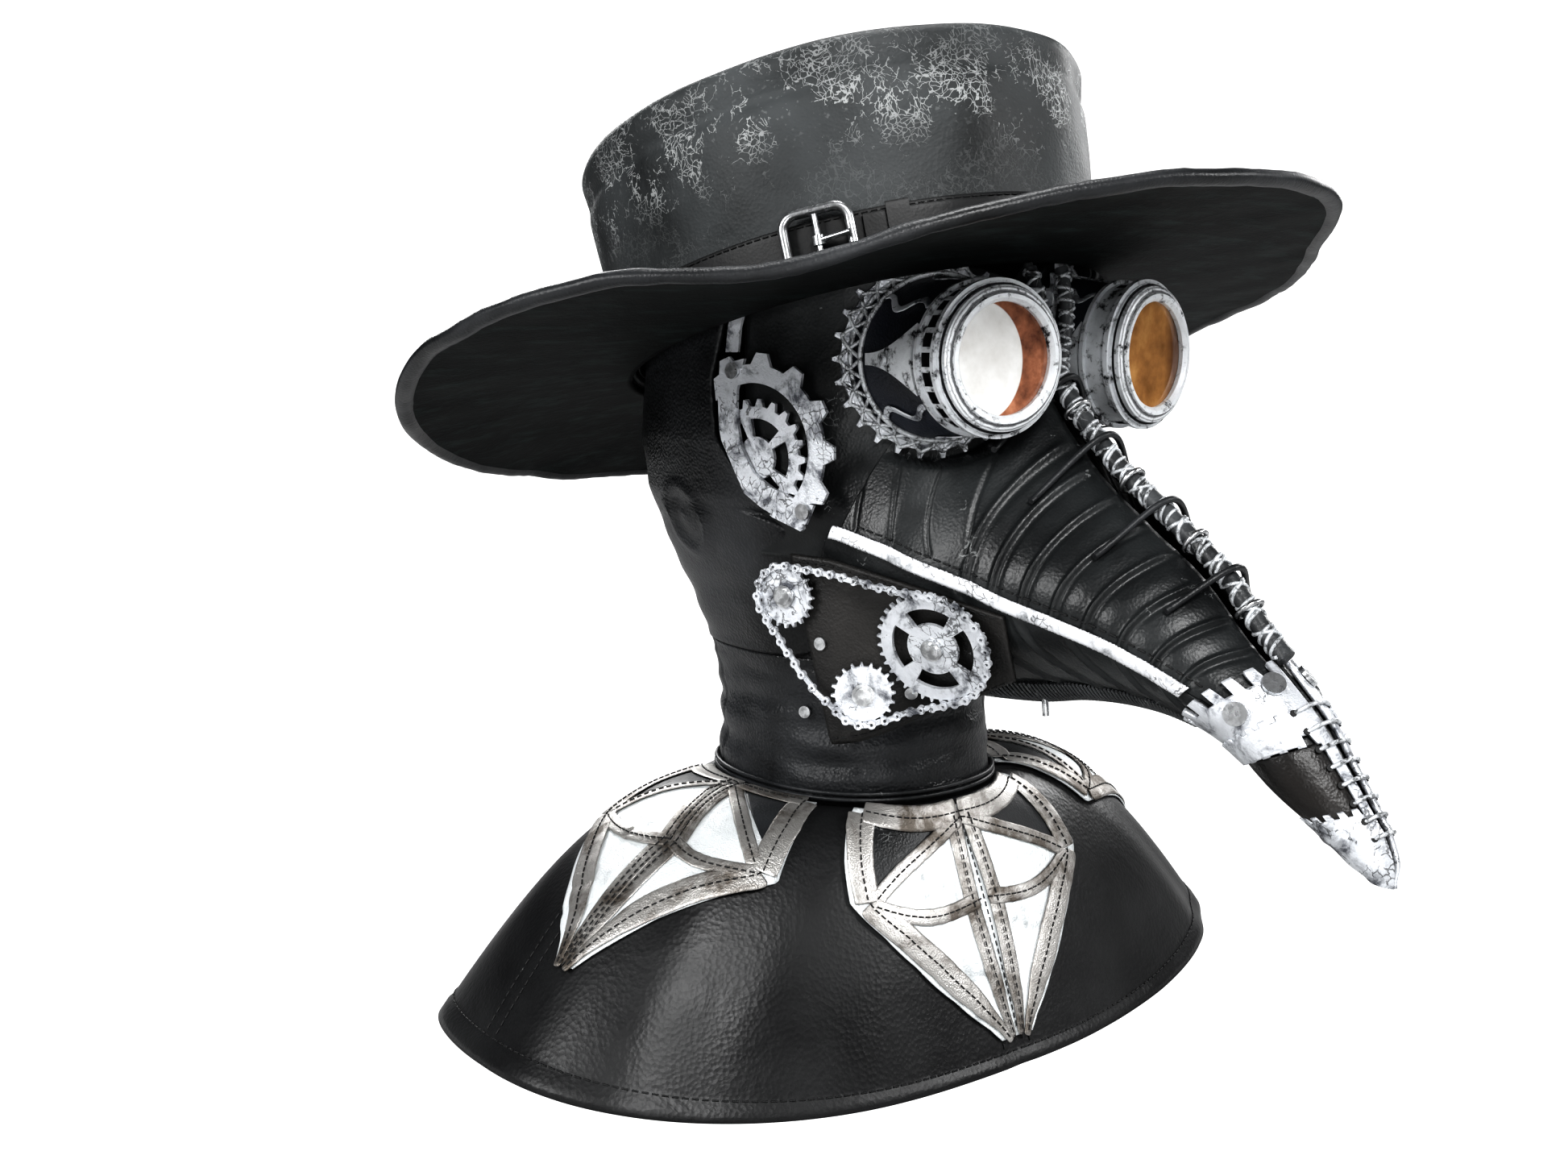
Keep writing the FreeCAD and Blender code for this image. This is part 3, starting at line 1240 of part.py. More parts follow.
# ------------------------------------------------------------- checks and export
doc.recompute()
problems = 0
for obj in doc.Objects:
    if "Invalid" in obj.State or "Error" in obj.State:
        print("state", obj.Label, obj.State)
        problems += 1
for label, obj in nodes.items():
    shape = obj.Shape
    if shape.isNull() or not shape.isValid() or shape.Volume <= 0 or not shape.Solids:
        print("bad shape", label, shape.isNull(), shape.isValid() if not shape.isNull() else "",
              shape.Volume if not shape.isNull() else "")
        problems += 1
        continue
    box = shape.BoundBox
    print("%-24s %2d %9.0f  x %6.0f %6.0f  y %6.0f %6.0f  z %6.0f %6.0f" % (
        label, len(shape.Solids), shape.Volume, box.XMin, box.XMax, box.YMin, box.YMax, box.ZMin, box.ZMax))
    shape.exportStep("parts/%s.step" % label)
print("nodes", len(nodes), "problems", problems)
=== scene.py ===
import bmesh
import bpy
import math
from mathutils import Matrix, Vector, noise


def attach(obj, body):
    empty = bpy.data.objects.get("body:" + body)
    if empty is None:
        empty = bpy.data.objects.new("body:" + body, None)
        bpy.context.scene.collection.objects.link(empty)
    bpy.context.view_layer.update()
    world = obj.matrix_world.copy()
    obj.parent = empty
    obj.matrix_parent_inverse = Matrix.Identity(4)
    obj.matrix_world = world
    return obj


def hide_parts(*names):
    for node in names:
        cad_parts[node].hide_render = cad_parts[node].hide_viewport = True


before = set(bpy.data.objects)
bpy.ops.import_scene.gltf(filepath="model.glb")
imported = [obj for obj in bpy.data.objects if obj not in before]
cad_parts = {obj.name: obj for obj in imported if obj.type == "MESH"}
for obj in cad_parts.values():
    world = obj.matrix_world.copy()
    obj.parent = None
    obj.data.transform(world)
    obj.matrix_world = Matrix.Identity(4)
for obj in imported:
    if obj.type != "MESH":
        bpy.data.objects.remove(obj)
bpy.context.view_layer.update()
mm = 0.001
print("frame loaded")


# ---- shared shapes, in millimetres, the wearer's right is -X
def along(rows, t):  # smooth curve through rows of numbers
    i = min(max(int(t), 0), len(rows) - 2)
    f = t - i
    a, b, c, d = rows[max(i - 1, 0)], rows[i], rows[i + 1], rows[min(i + 2, len(rows) - 1)]
    f2, f3 = f * f, f * f * f
    return [(2 * f3 - 3 * f2 + 1) * q + (f3 - 2 * f2 + f) * (r - p) * 0.5
            + (3 * f2 - 2 * f3) * r + (f3 - f2) * (s - q) * 0.5 for p, q, r, s in zip(a, b, c, d)]


def steer(rows, x):  # straight interpolation in sorted pairs
    if x <= rows[0][0]:
        return rows[0][1]
    for (x0, y0), (x1, y1) in zip(rows, rows[1:]):
        if x <= x1:
            return y0 + (y1 - y0) * (x - x0) / (x1 - x0)
    return rows[-1][1]


def ease(x):
    x = min(max(x, 0.0), 1.0)
    return x * x * (3.0 - 2.0 * x)


def steps(first, last, count):
    return [first + (last - first) * i / (count - 1.0) for i in range(count)]


def oval(angle, wide, ahead, behind, middle, power):  # rounded-square outline, 0 = front, right side
    sn, cs = math.sin(angle), math.cos(angle)
    reach = ahead if cs > 0 else behind
    return (-wide * math.copysign(abs(sn) ** (2.0 / power), sn),
            middle - math.copysign(reach * abs(cs) ** (2.0 / power), cs))


hatSizes = {"height": 92.0, "baseX": 102.0, "baseY": 113.5, "flare": 1.065, "pitch": 15.6,
            "back": 2.7, "up": 28.7, "brimX": 214.0, "brimY": 200.0, "ahead": 14.0, "droop": 8.0}


def hatPoint(p):  # hat's own frame to the row frame
    a = math.radians(hatSizes["pitch"])
    return Vector((p[0], p[1] * math.cos(a) + p[2] * math.sin(a) - hatSizes["back"],
                   -p[1] * math.sin(a) + p[2] * math.cos(a) + hatSizes["up"]))


def crownAt(height, out, angle):
    grow = 1.0 + (hatSizes["flare"] - 1.0) * height / hatSizes["height"]
    return Vector(((hatSizes["baseX"] * grow + out) * math.sin(angle),
                   -(hatSizes["baseY"] * grow + out) * math.cos(angle), height))


def hump(degrees, middle, width):  # smooth bump round one direction
    return math.exp(-((degrees - middle) / width) ** 2)


def rimAt(angle, reach, lift):
    inner = crownAt(0.0, 0.6, angle)
    degrees = (math.degrees(angle) + 180.0) % 360.0 - 180.0
    wave = 4.0 * math.cos(2 * angle) - 12.0 * math.cos(angle) - 2.5 * math.cos(4 * angle)
    wave += 9.5 * hump(degrees, -47.0, 16.0) + 6.0 * hump(degrees, -5.0, 42.0)
    swell = 1.0 + 0.02 * math.cos(3 * angle) + 0.02 * math.cos(4 * angle)
    swell += 0.04 * hump(degrees, 88.0, 22.0) - 0.04 * hump(degrees, 40.0, 17.0)
    outer = Vector((hatSizes["brimX"] * swell * math.sin(angle),
                    -hatSizes["brimY"] * swell * math.cos(angle) - hatSizes["ahead"],
                    -hatSizes["droop"] - wave))
    point = inner + (outer - inner) * reach
    point.z = inner.z + (outer.z - inner.z) * reach ** 1.5 + lift
    return point


beakRows = [(-104, 66, -40, -112, 71, 1.9), (-114, 40, -64, -118, 67, 1.7),
            (-118, 10, -86, -120, 59, 1.4), (-147, -23, -118, -118, 47.5, 1.1),
            (-176, -44, -143, -113.5, 41, 1.0), (-202, -63, -168, -112, 34, 1.0),
            (-222, -84, -190, -114, 27.5, 1.0), (-246, -105, -213, -121, 20.5, 1.0),
            (-263, -127, -235, -136, 14.5, 1.0), (-277, -148, -259, -151, 8.5, 1.0),
            (-281, -163, -270, -159, 4.5, 1.0)]


def beakPoint(t, s):
    ry, rz, ly, lz, wide, bias = along(beakRows, t)
    w = wide * max(math.sin(math.pi * min(max(s, 0.0), 1.0) ** bias), 0.0) ** 0.62
    return Vector((-w, ry + (ly - ry) * s, rz + (lz - rz) * s))


def beakAt(t, s, out):
    ds = beakPoint(t, min(s + 0.02, 0.996)) - beakPoint(t, max(s - 0.02, 0.004))
    dt = beakPoint(min(t + 0.1, 10.0), s) - beakPoint(max(t - 0.1, 0.0), s)
    normal = ds.cross(dt).normalized()
    away = Vector((-1, 0, 0)) if 0.1 < s < 0.9 else (Vector((-0.3, -1, 1)) if s <= 0.1
                                                     else Vector((-0.3, 0.6, -1)))
    if normal.dot(away) < 0:
        normal = -normal
    point = beakPoint(t, s) + normal * out
    point.x = min(point.x, -0.25)
    return point


def mouthS(t):
    return steer([(0.0, 0.66), (1.5, 0.58), (2.75, 0.525), (5.2, 0.52), (7.0, 0.46), (10, 0.46)], t)


hoodRows = [(-176, 58.0, 63.0, 72.0, 2.0), (-160, 56.5, 61.0, 70.5, 2.0), (-140, 56.0, 59.0, 70.0, 2.0),
            (-120, 58.0, 58.0, 72.0, 2.0), (-100, 64.0, 59.0, 78.0, 3.0), (-80, 72.0, 64.0, 86.0, 3.0),
            (-60, 80.5, 78.0, 93.0, 3.0), (-40, 87.6, 96.0, 99.0, 3.0), (-15, 91.0, 98.0, 101.0, 3.0),
            (10, 90.5, 98.0, 94.5, 3.0), (45, 88.0, 97.0, 99.0, 3.0), (70, 81.0, 92.0, 97.0, 3.0),
            (90, 68.0, 80.0, 84.0, 4.0), (102, 50.0, 60.0, 64.0, 4.0), (107, 30.0, 36.0, 38.0, 5.0),
            (109.5, 5.0, 6.0, 6.0, 6.0)]
hoodFront = [(-112, -34.0), (-100, -36.0), (-52, -42.0), (-47, -38.0), (-36, -27.0), (-13, -11.5),
             (10, -9.0), (40, -17.0), (60, -28.0), (80, -40.0), (102, -40.0), (109.5, -5.0)]


def hoodAt(angle, z, out):
    row = hoodRows[-1]
    for low, high in zip(hoodRows, hoodRows[1:]):
        if z <= high[0]:
            f = (z - low[0]) / float(high[0] - low[0])
            row = [a + (b - a) * f for a, b in zip(low, high)]
            break
    x, y = oval(angle, row[1] + out, row[2] + out, row[3] + out, row[4], 2.25)
    return Vector((x, y, z))


mantleSizes = {"hemX": 203.0, "hemFront": 106.0, "hemBack": 138.0, "drop": 286.0}


def mantleAt(angle, share, out):
    neck = hoodAt(angle, -176, 0.6 + out)
    x, y = oval(angle, mantleSizes["hemX"], mantleSizes["hemFront"], mantleSizes["hemBack"], 0.0, 2.45)
    side = abs(math.sin(angle)) ** 2
    drop = -mantleSizes["drop"] + 20.0 * side
    bulge = math.sin(math.pi * share) * (6.0 + 16.0 * side)
    fall = share ** (1.0 + 0.35 * side)
    return Vector((neck.x + (x - neck.x) * share, neck.y + (y - neck.y) * share,
                   neck.z + (drop - neck.z) * fall + bulge + out))


def mantleSide(angle, share, out):  # mantle surface for any angle, raised along its normal
    if angle < 0:
        p = mantleSide(-angle, share, out)
        return Vector((-p.x, p.y, p.z))
    if angle > math.pi:
        p = mantleSide(2 * math.pi - angle, share, out)
        return Vector((-p.x, p.y, p.z))
    here = mantleAt(angle, share, 0.0)
    around = mantleAt(angle + 0.02, share, 0.0) - mantleAt(max(angle - 0.02, 0.0), share, 0.0)
    fall = mantleAt(angle, min(share + 0.02, 1.0), 0.0) - mantleAt(angle, max(share - 0.02, 0.0), 0.0)
    normal = around.cross(fall).normalized()
    if normal.z < 0:
        normal = -normal
    return here + normal * out


def hoodStart(z):  # angle of the hood's front edge at a height
    limit = steer(hoodFront, z) - 17.0 * ease((z + 112.0) / 8.0) * (1.0 - ease((z + 50.0) / 8.0))
    angle = 0.02
    while angle < 2.5 and hoodAt(angle, z, 0.0).y < limit:
        angle += 0.005
    return angle


def faceAt(angle, z, out):
    x, y = oval(angle, 84.0 + out, 92.0 + out, 92.0, 0.0, 2.4)
    return Vector((x, y, z))


def ridgeAt(t, stand):  # middle-plane curve standing clear of the ridge
    row = along(beakRows, t)
    a, b = along(beakRows, max(t - 0.1, 0)), along(beakRows, min(t + 0.1, 10))
    run = Vector((0, b[0] - a[0], b[1] - a[1])).normalized()
    out = Vector((0, run.z, -run.y))
    if out.y > 0:
        out = -out
    return Vector((0, row[0], row[1])) + out * stand


def underAt(t, stand):
    row = along(beakRows, t)
    a, b = along(beakRows, max(t - 0.1, 0)), along(beakRows, min(t + 0.1, 10))
    run = Vector((0, b[2] - a[2], b[3] - a[3])).normalized()
    out = Vector((0, run.z, -run.y))
    if out.z > 0:
        out = -out
    return Vector((0, row[2], row[3])) + out * stand


eyeSizes = {"x": 43.7, "ahead": 133.5, "up": 18.8, "splay": 8.5, "seatX": 38.0, "seatAhead": 88.0,
            "seatSplay": 30.0, "baseR": 33.0, "collarR": 28.6, "collarBack": -15.9,
            "seatFlat": 43.0, "seatLift": 0.3}


# point round an axis that leans outwards, turn 0 = outer side
def disc(centre, splay, radius, turn, lift):
    a = math.radians(splay)
    ahead = Vector((-math.sin(a), -math.cos(a), 0))
    side = Vector((-math.cos(a), math.sin(a), 0))
    return centre + side * radius * math.cos(turn) + Vector((0, 0,
                                                             1)) * radius * math.sin(turn) + ahead * lift


def lensAt(radius, turn, lift):
    return disc(Vector((-eyeSizes["x"], -eyeSizes["ahead"], eyeSizes["up"])), eyeSizes["splay"], radius,
                turn, lift)


def seatAt(radius, turn, lift):
    return disc(Vector((-eyeSizes["seatX"], -eyeSizes["seatAhead"], eyeSizes["up"])),
                eyeSizes["seatSplay"],
                radius, turn, lift)


def flatUnderCup(spot):  # leather pressed flat where the eyecup sits
    splay = math.radians(eyeSizes["seatSplay"])
    seat = Vector((-eyeSizes["seatX"], -eyeSizes["seatAhead"], eyeSizes["up"]))
    ahead = Vector((-math.sin(splay), -math.cos(splay), 0))
    past = (spot - seat).dot(ahead) - eyeSizes["seatLift"]
    wide = ((spot - seat) - ahead * (past + eyeSizes["seatLift"])).length
    if wide < eyeSizes["seatFlat"] and past > 0:
        spot = spot - ahead * past * ease((eyeSizes["seatFlat"] - wide) / 1.5)
    return spot


def cupAt(turn, share, out):  # share 0 at the face, 1 at the collar
    low = seatAt(eyeSizes["baseR"] + out, turn, 0.6)
    high = lensAt(eyeSizes["collarR"] + out, turn, eyeSizes["collarBack"])
    return low + (high - low) * share


def lump(x, middle, width):
    return math.exp(-((x - middle) / width) ** 2)


def wobble(point, size, depth):  # soft unevenness, size and depth in mm
    return noise.noise(Vector(point) / size) * depth


cheekTurn = math.radians(18.0)
cheekU, cheekN = Vector((math.sin(cheekTurn), -math.cos(cheekTurn), 0)), Vector((-math.cos(cheekTurn),
                                                                                 -math.sin(cheekTurn), 0))
cheekZero, cheekFold = Vector((-80.0, -48.0, 0)), -64.0


def cheekAt(u, v, h):  # side leather, its lower edge turned under towards the front
    tilt = math.radians(18.0) * ease((u - 22.0) / 34.0)
    below, above = min(v - cheekFold, 0.0), max(v - cheekFold, 0.0)
    down = Vector((0, 0, 1)) * math.cos(tilt) + cheekN * math.sin(tilt)
    normal = cheekN * math.cos(tilt) - Vector((0, 0, 1)) * math.sin(tilt)
    if below < 0:
        return cheekZero + cheekU * u + Vector((0, 0, cheekFold)) + down * below + normal * h
    return cheekZero + cheekU * u + Vector((0, 0, cheekFold + above)) + cheekN * h


# ---- bench tools
def alone():
    bpy.ops.object.select_all(action="DESELECT")


def take(piece):  # the only piece in hand
    alone()
    piece.select_set(True)
    bpy.context.view_layer.objects.active = piece


def faceOut(piece):
    take(piece)
    bpy.ops.object.mode_set(mode="EDIT")
    bpy.ops.mesh.select_all(action="SELECT")
    bpy.ops.mesh.normals_make_consistent(inside=False)
    bpy.ops.object.mode_set(mode="OBJECT")


def applyAll(piece):
    take(piece)
    for modifier in list(piece.modifiers):
        bpy.ops.object.modifier_apply(modifier=modifier.name)


def settle(piece, finish, body="hood", stands=()):  # finish, body and the nodes it stands for
    piece.data.materials.clear()
    piece.data.materials.append(finish)
    for face in piece.data.polygons:
        face.use_smooth = True
    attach(piece, body)
    if stands:
        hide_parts(*stands)
    return piece


def hide(name, across, down, at, core=None, wall=0.0, levels=0, mirror=False, weld=0.6, loop=False):
    # a cut of leather: a grid laid on at(u, v), thickened inwards and softened
    alone()
    bpy.ops.mesh.primitive_grid_add(x_subdivisions=across, y_subdivisions=down, size=1.0)
    piece = bpy.context.active_object
    piece.name = piece.data.name = name
    for vertex in piece.data.vertices:
        vertex.co = at(min(max(vertex.co.x + 0.5, 0.0), 1.0), min(max(vertex.co.y + 0.5, 0.0), 1.0)) * mm
    piece.data.update()
    if core:
        score = 0.0
        for face in list(piece.data.polygons)[::7]:
            score += face.normal.dot(face.center - core(face.center))
        if score < 0:
            piece.data.flip_normals()
    if loop:
        join = piece.modifiers.new("join", "WELD")
        join.merge_threshold = 0.05 * mm
    if mirror:
        twin = piece.modifiers.new("twin", "MIRROR")
        twin.use_mirror_merge = weld > 0
        twin.merge_threshold = weld * mm
    if wall:
        thick = piece.modifiers.new("wall", "SOLIDIFY")
        thick.thickness = wall * mm
        thick.offset = -1.0
    if levels:
        soft = piece.modifiers.new("soft", "SUBSURF")
        soft.levels = soft.render_levels = levels
    applyAll(piece)
    return piece


def strands(name, lines, radius, sides=2, closed=False, order=3, mirror=False):
    # cords, wires and threads: each line is a list of points in mm, or (point, share of the radius)
    curve = bpy.data.curves.new(name, "CURVE")
    curve.dimensions = "3D"
    curve.bevel_depth = radius * mm
    curve.bevel_resolution = sides
    curve.use_fill_caps = not closed
    curve.resolution_u = 3
    for line in lines:
        spline = curve.splines.new("NURBS" if len(line) > 2 else "POLY")
        spline.points.add(len(line) - 1)
        for knot, spot in zip(spline.points, line):
            point, share = spot if isinstance(spot, tuple) else (spot, 1.0)
            knot.co = (point.x * mm, point.y * mm, point.z * mm, 1.0)
            knot.radius = share
        if len(line) > 2:
            spline.use_endpoint_u = not closed
            spline.use_cyclic_u = closed
            spline.order_u = order
    piece = bpy.data.objects.new(name, curve)
    bpy.context.scene.collection.objects.link(piece)
    take(piece)
    bpy.ops.object.convert(target="MESH")
    piece = bpy.context.active_object
    if mirror:
        twin = piece.modifiers.new("twin", "MIRROR")
        twin.use_mirror_merge = False
        applyAll(piece)
    return piece


def spaced(path, step, start=0.0):  # points every step mm along a run of points
    out = []
    left = start
    for a, b in zip(path, path[1:]):
        far = (b - a).length
        while left <= far and far > 1e-6:
            out.append(a + (b - a) * (left / far))
            left += step
        left -= far
    return out


def stitchRun(path, long=2.6, gap=1.3):  # dashes of thread along a run of points
    marks = spaced(path, 0.25)
    size, pause = int(long / 0.25), int(gap / 0.25)
    dashes = []
    k = 0
    while k + size < len(marks):
        dashes.append([marks[k], marks[k + size]])
        k += size + pause
    return dashes


def strips(name, runs, wide, thick, on, mirror=False, levels=1, count=40, slim=None):
    # flat straps: each run is a list of (u, v) on the surface on(u, v, height)
    points, faces = [], []
    for run in runs:
        flat = [Vector((u, v, 0)) for u, v in run]
        total = sum((b - a).length for a, b in zip(flat, flat[1:]))
        marks = spaced(flat, total / (count - 0.001))
        line = [on(p.x, p.y, 0.0) for p in marks]
        tops = [on(p.x, p.y, 1.0) for p in marks]
        first = len(points)
        for k, (low, top) in enumerate(zip(line, tops)):
            run3 = line[min(k + 1, len(line) - 1)] - line[max(k - 1, 0)]
            up = (top - low).normalized()
            side = run3.cross(up).normalized()
            half = wide / 2.0 * (slim(marks[k].y) if slim else 1.0) + wobble(low, 3.0, 0.35)
            for across, high in ((-half, 0.0), (-half, thick * 0.8), (-half * 0.55, thick),
                                 (half * 0.55, thick),
                                 (half, thick * 0.8), (half, 0.0)):
                points.append((low + side * across + up * high) * mm)
        for k in range(len(line) - 1):
            for j in range(6):
                a, b = first + k * 6 + j, first + k * 6 + (j + 1) % 6
                faces.append((a, a + 6, b + 6, b))
        faces.append(tuple(first + j for j in range(6)))
        faces.append(tuple(first + (len(line) - 1) * 6 + j for j in reversed(range(6))))
    mesh = bpy.data.meshes.new(name)
    mesh.from_pydata(points, [], faces)
    piece = bpy.data.objects.new(name, mesh)
    bpy.context.scene.collection.objects.link(piece)
    faceOut(piece)
    if mirror:
        twin = piece.modifiers.new("twin", "MIRROR")
        twin.use_mirror_merge = False
    if levels:
        soft = piece.modifiers.new("soft", "SUBSURF")
        soft.levels = soft.render_levels = levels
    applyAll(piece)
    return piece


# ---- finishes
def socket(tree, name, kind, way="INPUT", value=None):
    made = tree.interface.new_socket(name=name, in_out=way, socket_type=kind)
    if value is not None:
        made.default_value = value


def put(tree, kind, *links, **values):  # a node with its settings, and (input, source) links
    made = tree.nodes.new(kind)
    for key, value in values.items():
        key = key.replace("_", " ") if key[0].isupper() else key
        if key in made.inputs and key[0].isupper():
            made.inputs[key].default_value = value
        else:
            setattr(made, key, value)
    for name, source in links:
        tree.links.new(source, made.inputs[name])
    return made


def ramp(tree, source, stops):  # stops are (position, grey or colour)
    made = put(tree, "ShaderNodeValToRGB", ("Fac", source))
    line = made.color_ramp.elements
    while len(line) < len(stops):
        line.new(0.5)
    for element, (where, tone) in zip(line, stops):
        element.position = where
        element.color = (tone, tone, tone, 1) if isinstance(tone, (int, float)) else (*tone, 1)
    return made.outputs["Color"]


def maths(tree, how, a, b=None, clamp=False):
    made = tree.nodes.new("ShaderNodeMath")
    made.operation = how
    made.use_clamp = clamp
    for slot, value in ((0, a), (1, b)):
        if value is None:
            continue
        if isinstance(value, (int, float)):
            made.inputs[slot].default_value = value
        else:
            tree.links.new(value, made.inputs[slot])
    return made.outputs[0]


def times(tree, a, b):
    return maths(tree, "MULTIPLY", a, b)


def plus(tree, a, b, clamp=False):
    return maths(tree, "ADD", a, b, clamp)


def minus(tree, a, b):
    return maths(tree, "SUBTRACT", a, b)


def cloudy(tree, spot, **values):
    return put(tree, "ShaderNodeTexNoise", ("Vector", spot), **values).outputs[0]


def blendTone(tree, share, a, b):  # colour mix of two colours or sockets
    made = tree.nodes.new("ShaderNodeMix")
    made.data_type = "RGBA"
    for slot, value in ((0, share), (6, a), (7, b)):
        if isinstance(value, tuple):
            made.inputs[slot].default_value = (*value, 1)
        elif isinstance(value, (int, float)):
            made.inputs[slot].default_value = value
        else:
            tree.links.new(value, made.inputs[slot])
    return made.outputs[2]


def hideGrain():  # pebbled leather: pores, creases and soft mottling
    tree = bpy.data.node_groups.new("hideGrain", "ShaderNodeTree")
    socket(tree, "Vector", "NodeSocketVector")
    socket(tree, "Pores", "NodeSocketFloat", value=900.0)
    socket(tree, "Creases", "NodeSocketFloat", value=60.0)
    socket(tree, "Height", "NodeSocketFloat", "OUTPUT")
    socket(tree, "Mottle", "NodeSocketFloat", "OUTPUT")
    start, end = tree.nodes.new("NodeGroupInput"), tree.nodes.new("NodeGroupOutput")
    spot = start.outputs["Vector"]
    pores = put(tree, "ShaderNodeTexVoronoi", ("Vector", spot), ("Scale", start.outputs["Pores"]))
    fold = put(tree, "ShaderNodeTexNoise", ("Vector", spot), ("Scale", start.outputs["Creases"]),
               Detail=6.0,
               Roughness=0.62, Distortion=0.8)
    ridged = maths(tree, "ABSOLUTE", minus(tree, fold.outputs[0], 0.5))
    high = plus(tree, times(tree, pores.outputs[0], 0.35), times(tree, ridged, 1.6))
    tree.links.new(high, end.inputs["Height"])
    patch = put(tree, "ShaderNodeTexNoise", ("Vector", spot), Scale=22.0, Detail=4.0)
    tree.links.new(patch.outputs[0], end.inputs["Mottle"])
    return tree


def scuffs():  # fine broken scratches and crackle
    tree = bpy.data.node_groups.new("scuffs", "ShaderNodeTree")
    socket(tree, "Vector", "NodeSocketVector")
    socket(tree, "Scale", "NodeSocketFloat", value=120.0)
    socket(tree, "Width", "NodeSocketFloat", value=0.05)
    socket(tree, "Patch", "NodeSocketFloat", value=0.5)
    socket(tree, "Mask", "NodeSocketFloat", "OUTPUT")
    start, end = tree.nodes.new("NodeGroupInput"), tree.nodes.new("NodeGroupOutput")
    warp = put(tree, "ShaderNodeTexNoise", ("Vector", start.outputs["Vector"]), Scale=45.0, Detail=5.0)
    shift = put(tree, "ShaderNodeVectorMath", ("Vector", warp.outputs["Color"]), operation="SCALE",
                Scale=0.022)
    spot = put(tree, "ShaderNodeVectorMath", operation="ADD")
    tree.links.new(start.outputs["Vector"], spot.inputs[0])
    tree.links.new(shift.outputs[0], spot.inputs[1])
    cells = put(tree, "ShaderNodeTexVoronoi", ("Vector", spot.outputs[0]),
                ("Scale", start.outputs["Scale"]),
                feature="DISTANCE_TO_EDGE")
    thin = maths(tree, "LESS_THAN", cells.outputs[0], start.outputs["Width"])
    patch = put(tree, "ShaderNodeTexNoise", ("Vector", start.outputs["Vector"]), Scale=38.0, Detail=7.0,
                Roughness=0.7)
    keepers = maths(tree, "GREATER_THAN", patch.outputs[0], start.outputs["Patch"])
    tree.links.new(times(tree, thin, keepers), end.inputs["Mask"])
    return tree


grainGroup, scuffGroup = hideGrain(), scuffs()


def startFinish(name, slot):
    made = bpy.data.materials.new(name)
    made.use_nodes = True
    made["slot"] = slot
    tree = made.node_tree
    shader = tree.nodes["Principled BSDF"]
    shader.inputs["Specular IOR Level"].default_value = 0.38
    spot = put(tree, "ShaderNodeTexCoord").outputs["Object"]
    return made, tree, shader, spot


def group(tree, shared, spot, **values):
    made = put(tree, "ShaderNodeGroup")
    made.node_tree = shared
    tree.links.new(spot, made.inputs["Vector"])
    for key, value in values.items():
        made.inputs[key].default_value = value
    return made.outputs


def bump(tree, shader, height, distance, strength=1.0):
    made = put(tree, "ShaderNodeBump", ("Height", height), Distance=distance, Strength=strength)
    tree.links.new(made.outputs[0], shader.inputs["Normal"])


def blackHide(name, slot="black_leather", dark=(0.006, 0.0065, 0.007), worn=(0.035, 0.037, 0.04),
              rough=(0.34, 0.52),
              pores=900.0, creases=60.0, depth=0.00025, scratch=0.66):
    made, tree, shader, spot = startFinish(name, slot)
    grain = group(tree, grainGroup, spot, Pores=pores, Creases=creases)
    marks = group(tree, scuffGroup, spot, Scale=230.0, Width=0.035, Patch=scratch)
    base = blendTone(tree, ramp(tree, grain["Mottle"], [(0.35, 0.0), (0.75, 1.0)]), dark, worn)
    colour = blendTone(tree, times(tree, marks["Mask"], 0.35), base, (0.32, 0.33, 0.33))
    tree.links.new(colour, shader.inputs["Base Color"])
    low, high = rough
    tone = ramp(tree, grain["Mottle"], [(0.3, low), (0.8, high)])
    tree.links.new(tone, shader.inputs["Roughness"])
    bump(tree, shader, grain["Height"], depth)
    return made


def crownHide():
    made, tree, shader, spot = startFinish("distressedCrown", "hat_leather")
    grain = group(tree, grainGroup, spot, Pores=700.0, Creases=45.0)
    turn = put(tree, "ShaderNodeMapping", ("Vector", spot), vector_type="POINT")
    turn.inputs["Rotation"].default_value = (math.radians(hatSizes["pitch"]), 0, 0)
    turn.inputs["Location"].default_value = (0, 0, -0.0277)
    high = put(tree, "ShaderNodeSeparateXYZ", ("Vector", turn.outputs[0])).outputs["Z"]
    waver = cloudy(tree, spot, Scale=14.0, Detail=3.0)
    level = plus(tree, high, times(tree, minus(tree, waver, 0.5), 0.05))
    band = ramp(tree, times(tree, level, 9.0), [(0.0, 0.12), (0.38, 0.1), (0.58, 1.0), (0.74, 0.75),
                                                           (0.86, 0.25)])
    fine = group(tree, scuffGroup, spot, Scale=330.0, Width=0.045, Patch=0.525)
    broad = group(tree, scuffGroup, spot, Scale=170.0, Width=0.022, Patch=0.49)
    specks = cloudy(tree, spot, Scale=420.0, Detail=3.0)
    dust = times(tree, ramp(tree, specks, [(0.62, 0.0), (0.72, 1.0)]), 0.2)
    lines = maths(tree, "MAXIMUM", fine["Mask"], broad["Mask"])
    mask = times(tree, plus(tree, lines, dust, True), band)
    base = blendTone(tree, ramp(tree, grain["Mottle"], [(0.3, 0.0), (0.7, 1.0)]), (0.012, 0.0135, 0.014),
                     (0.055, 0.06, 0.062))
    tree.links.new(blendTone(tree, mask, base, (0.34, 0.35, 0.35)), shader.inputs["Base Color"])
    tree.links.new(ramp(tree, grain["Mottle"], [(0.3, 0.5), (0.8, 0.68)]), shader.inputs["Roughness"])
    bump(tree, shader, minus(tree, grain["Height"], times(tree, lines, 0.5)), 0.0003)
    return made


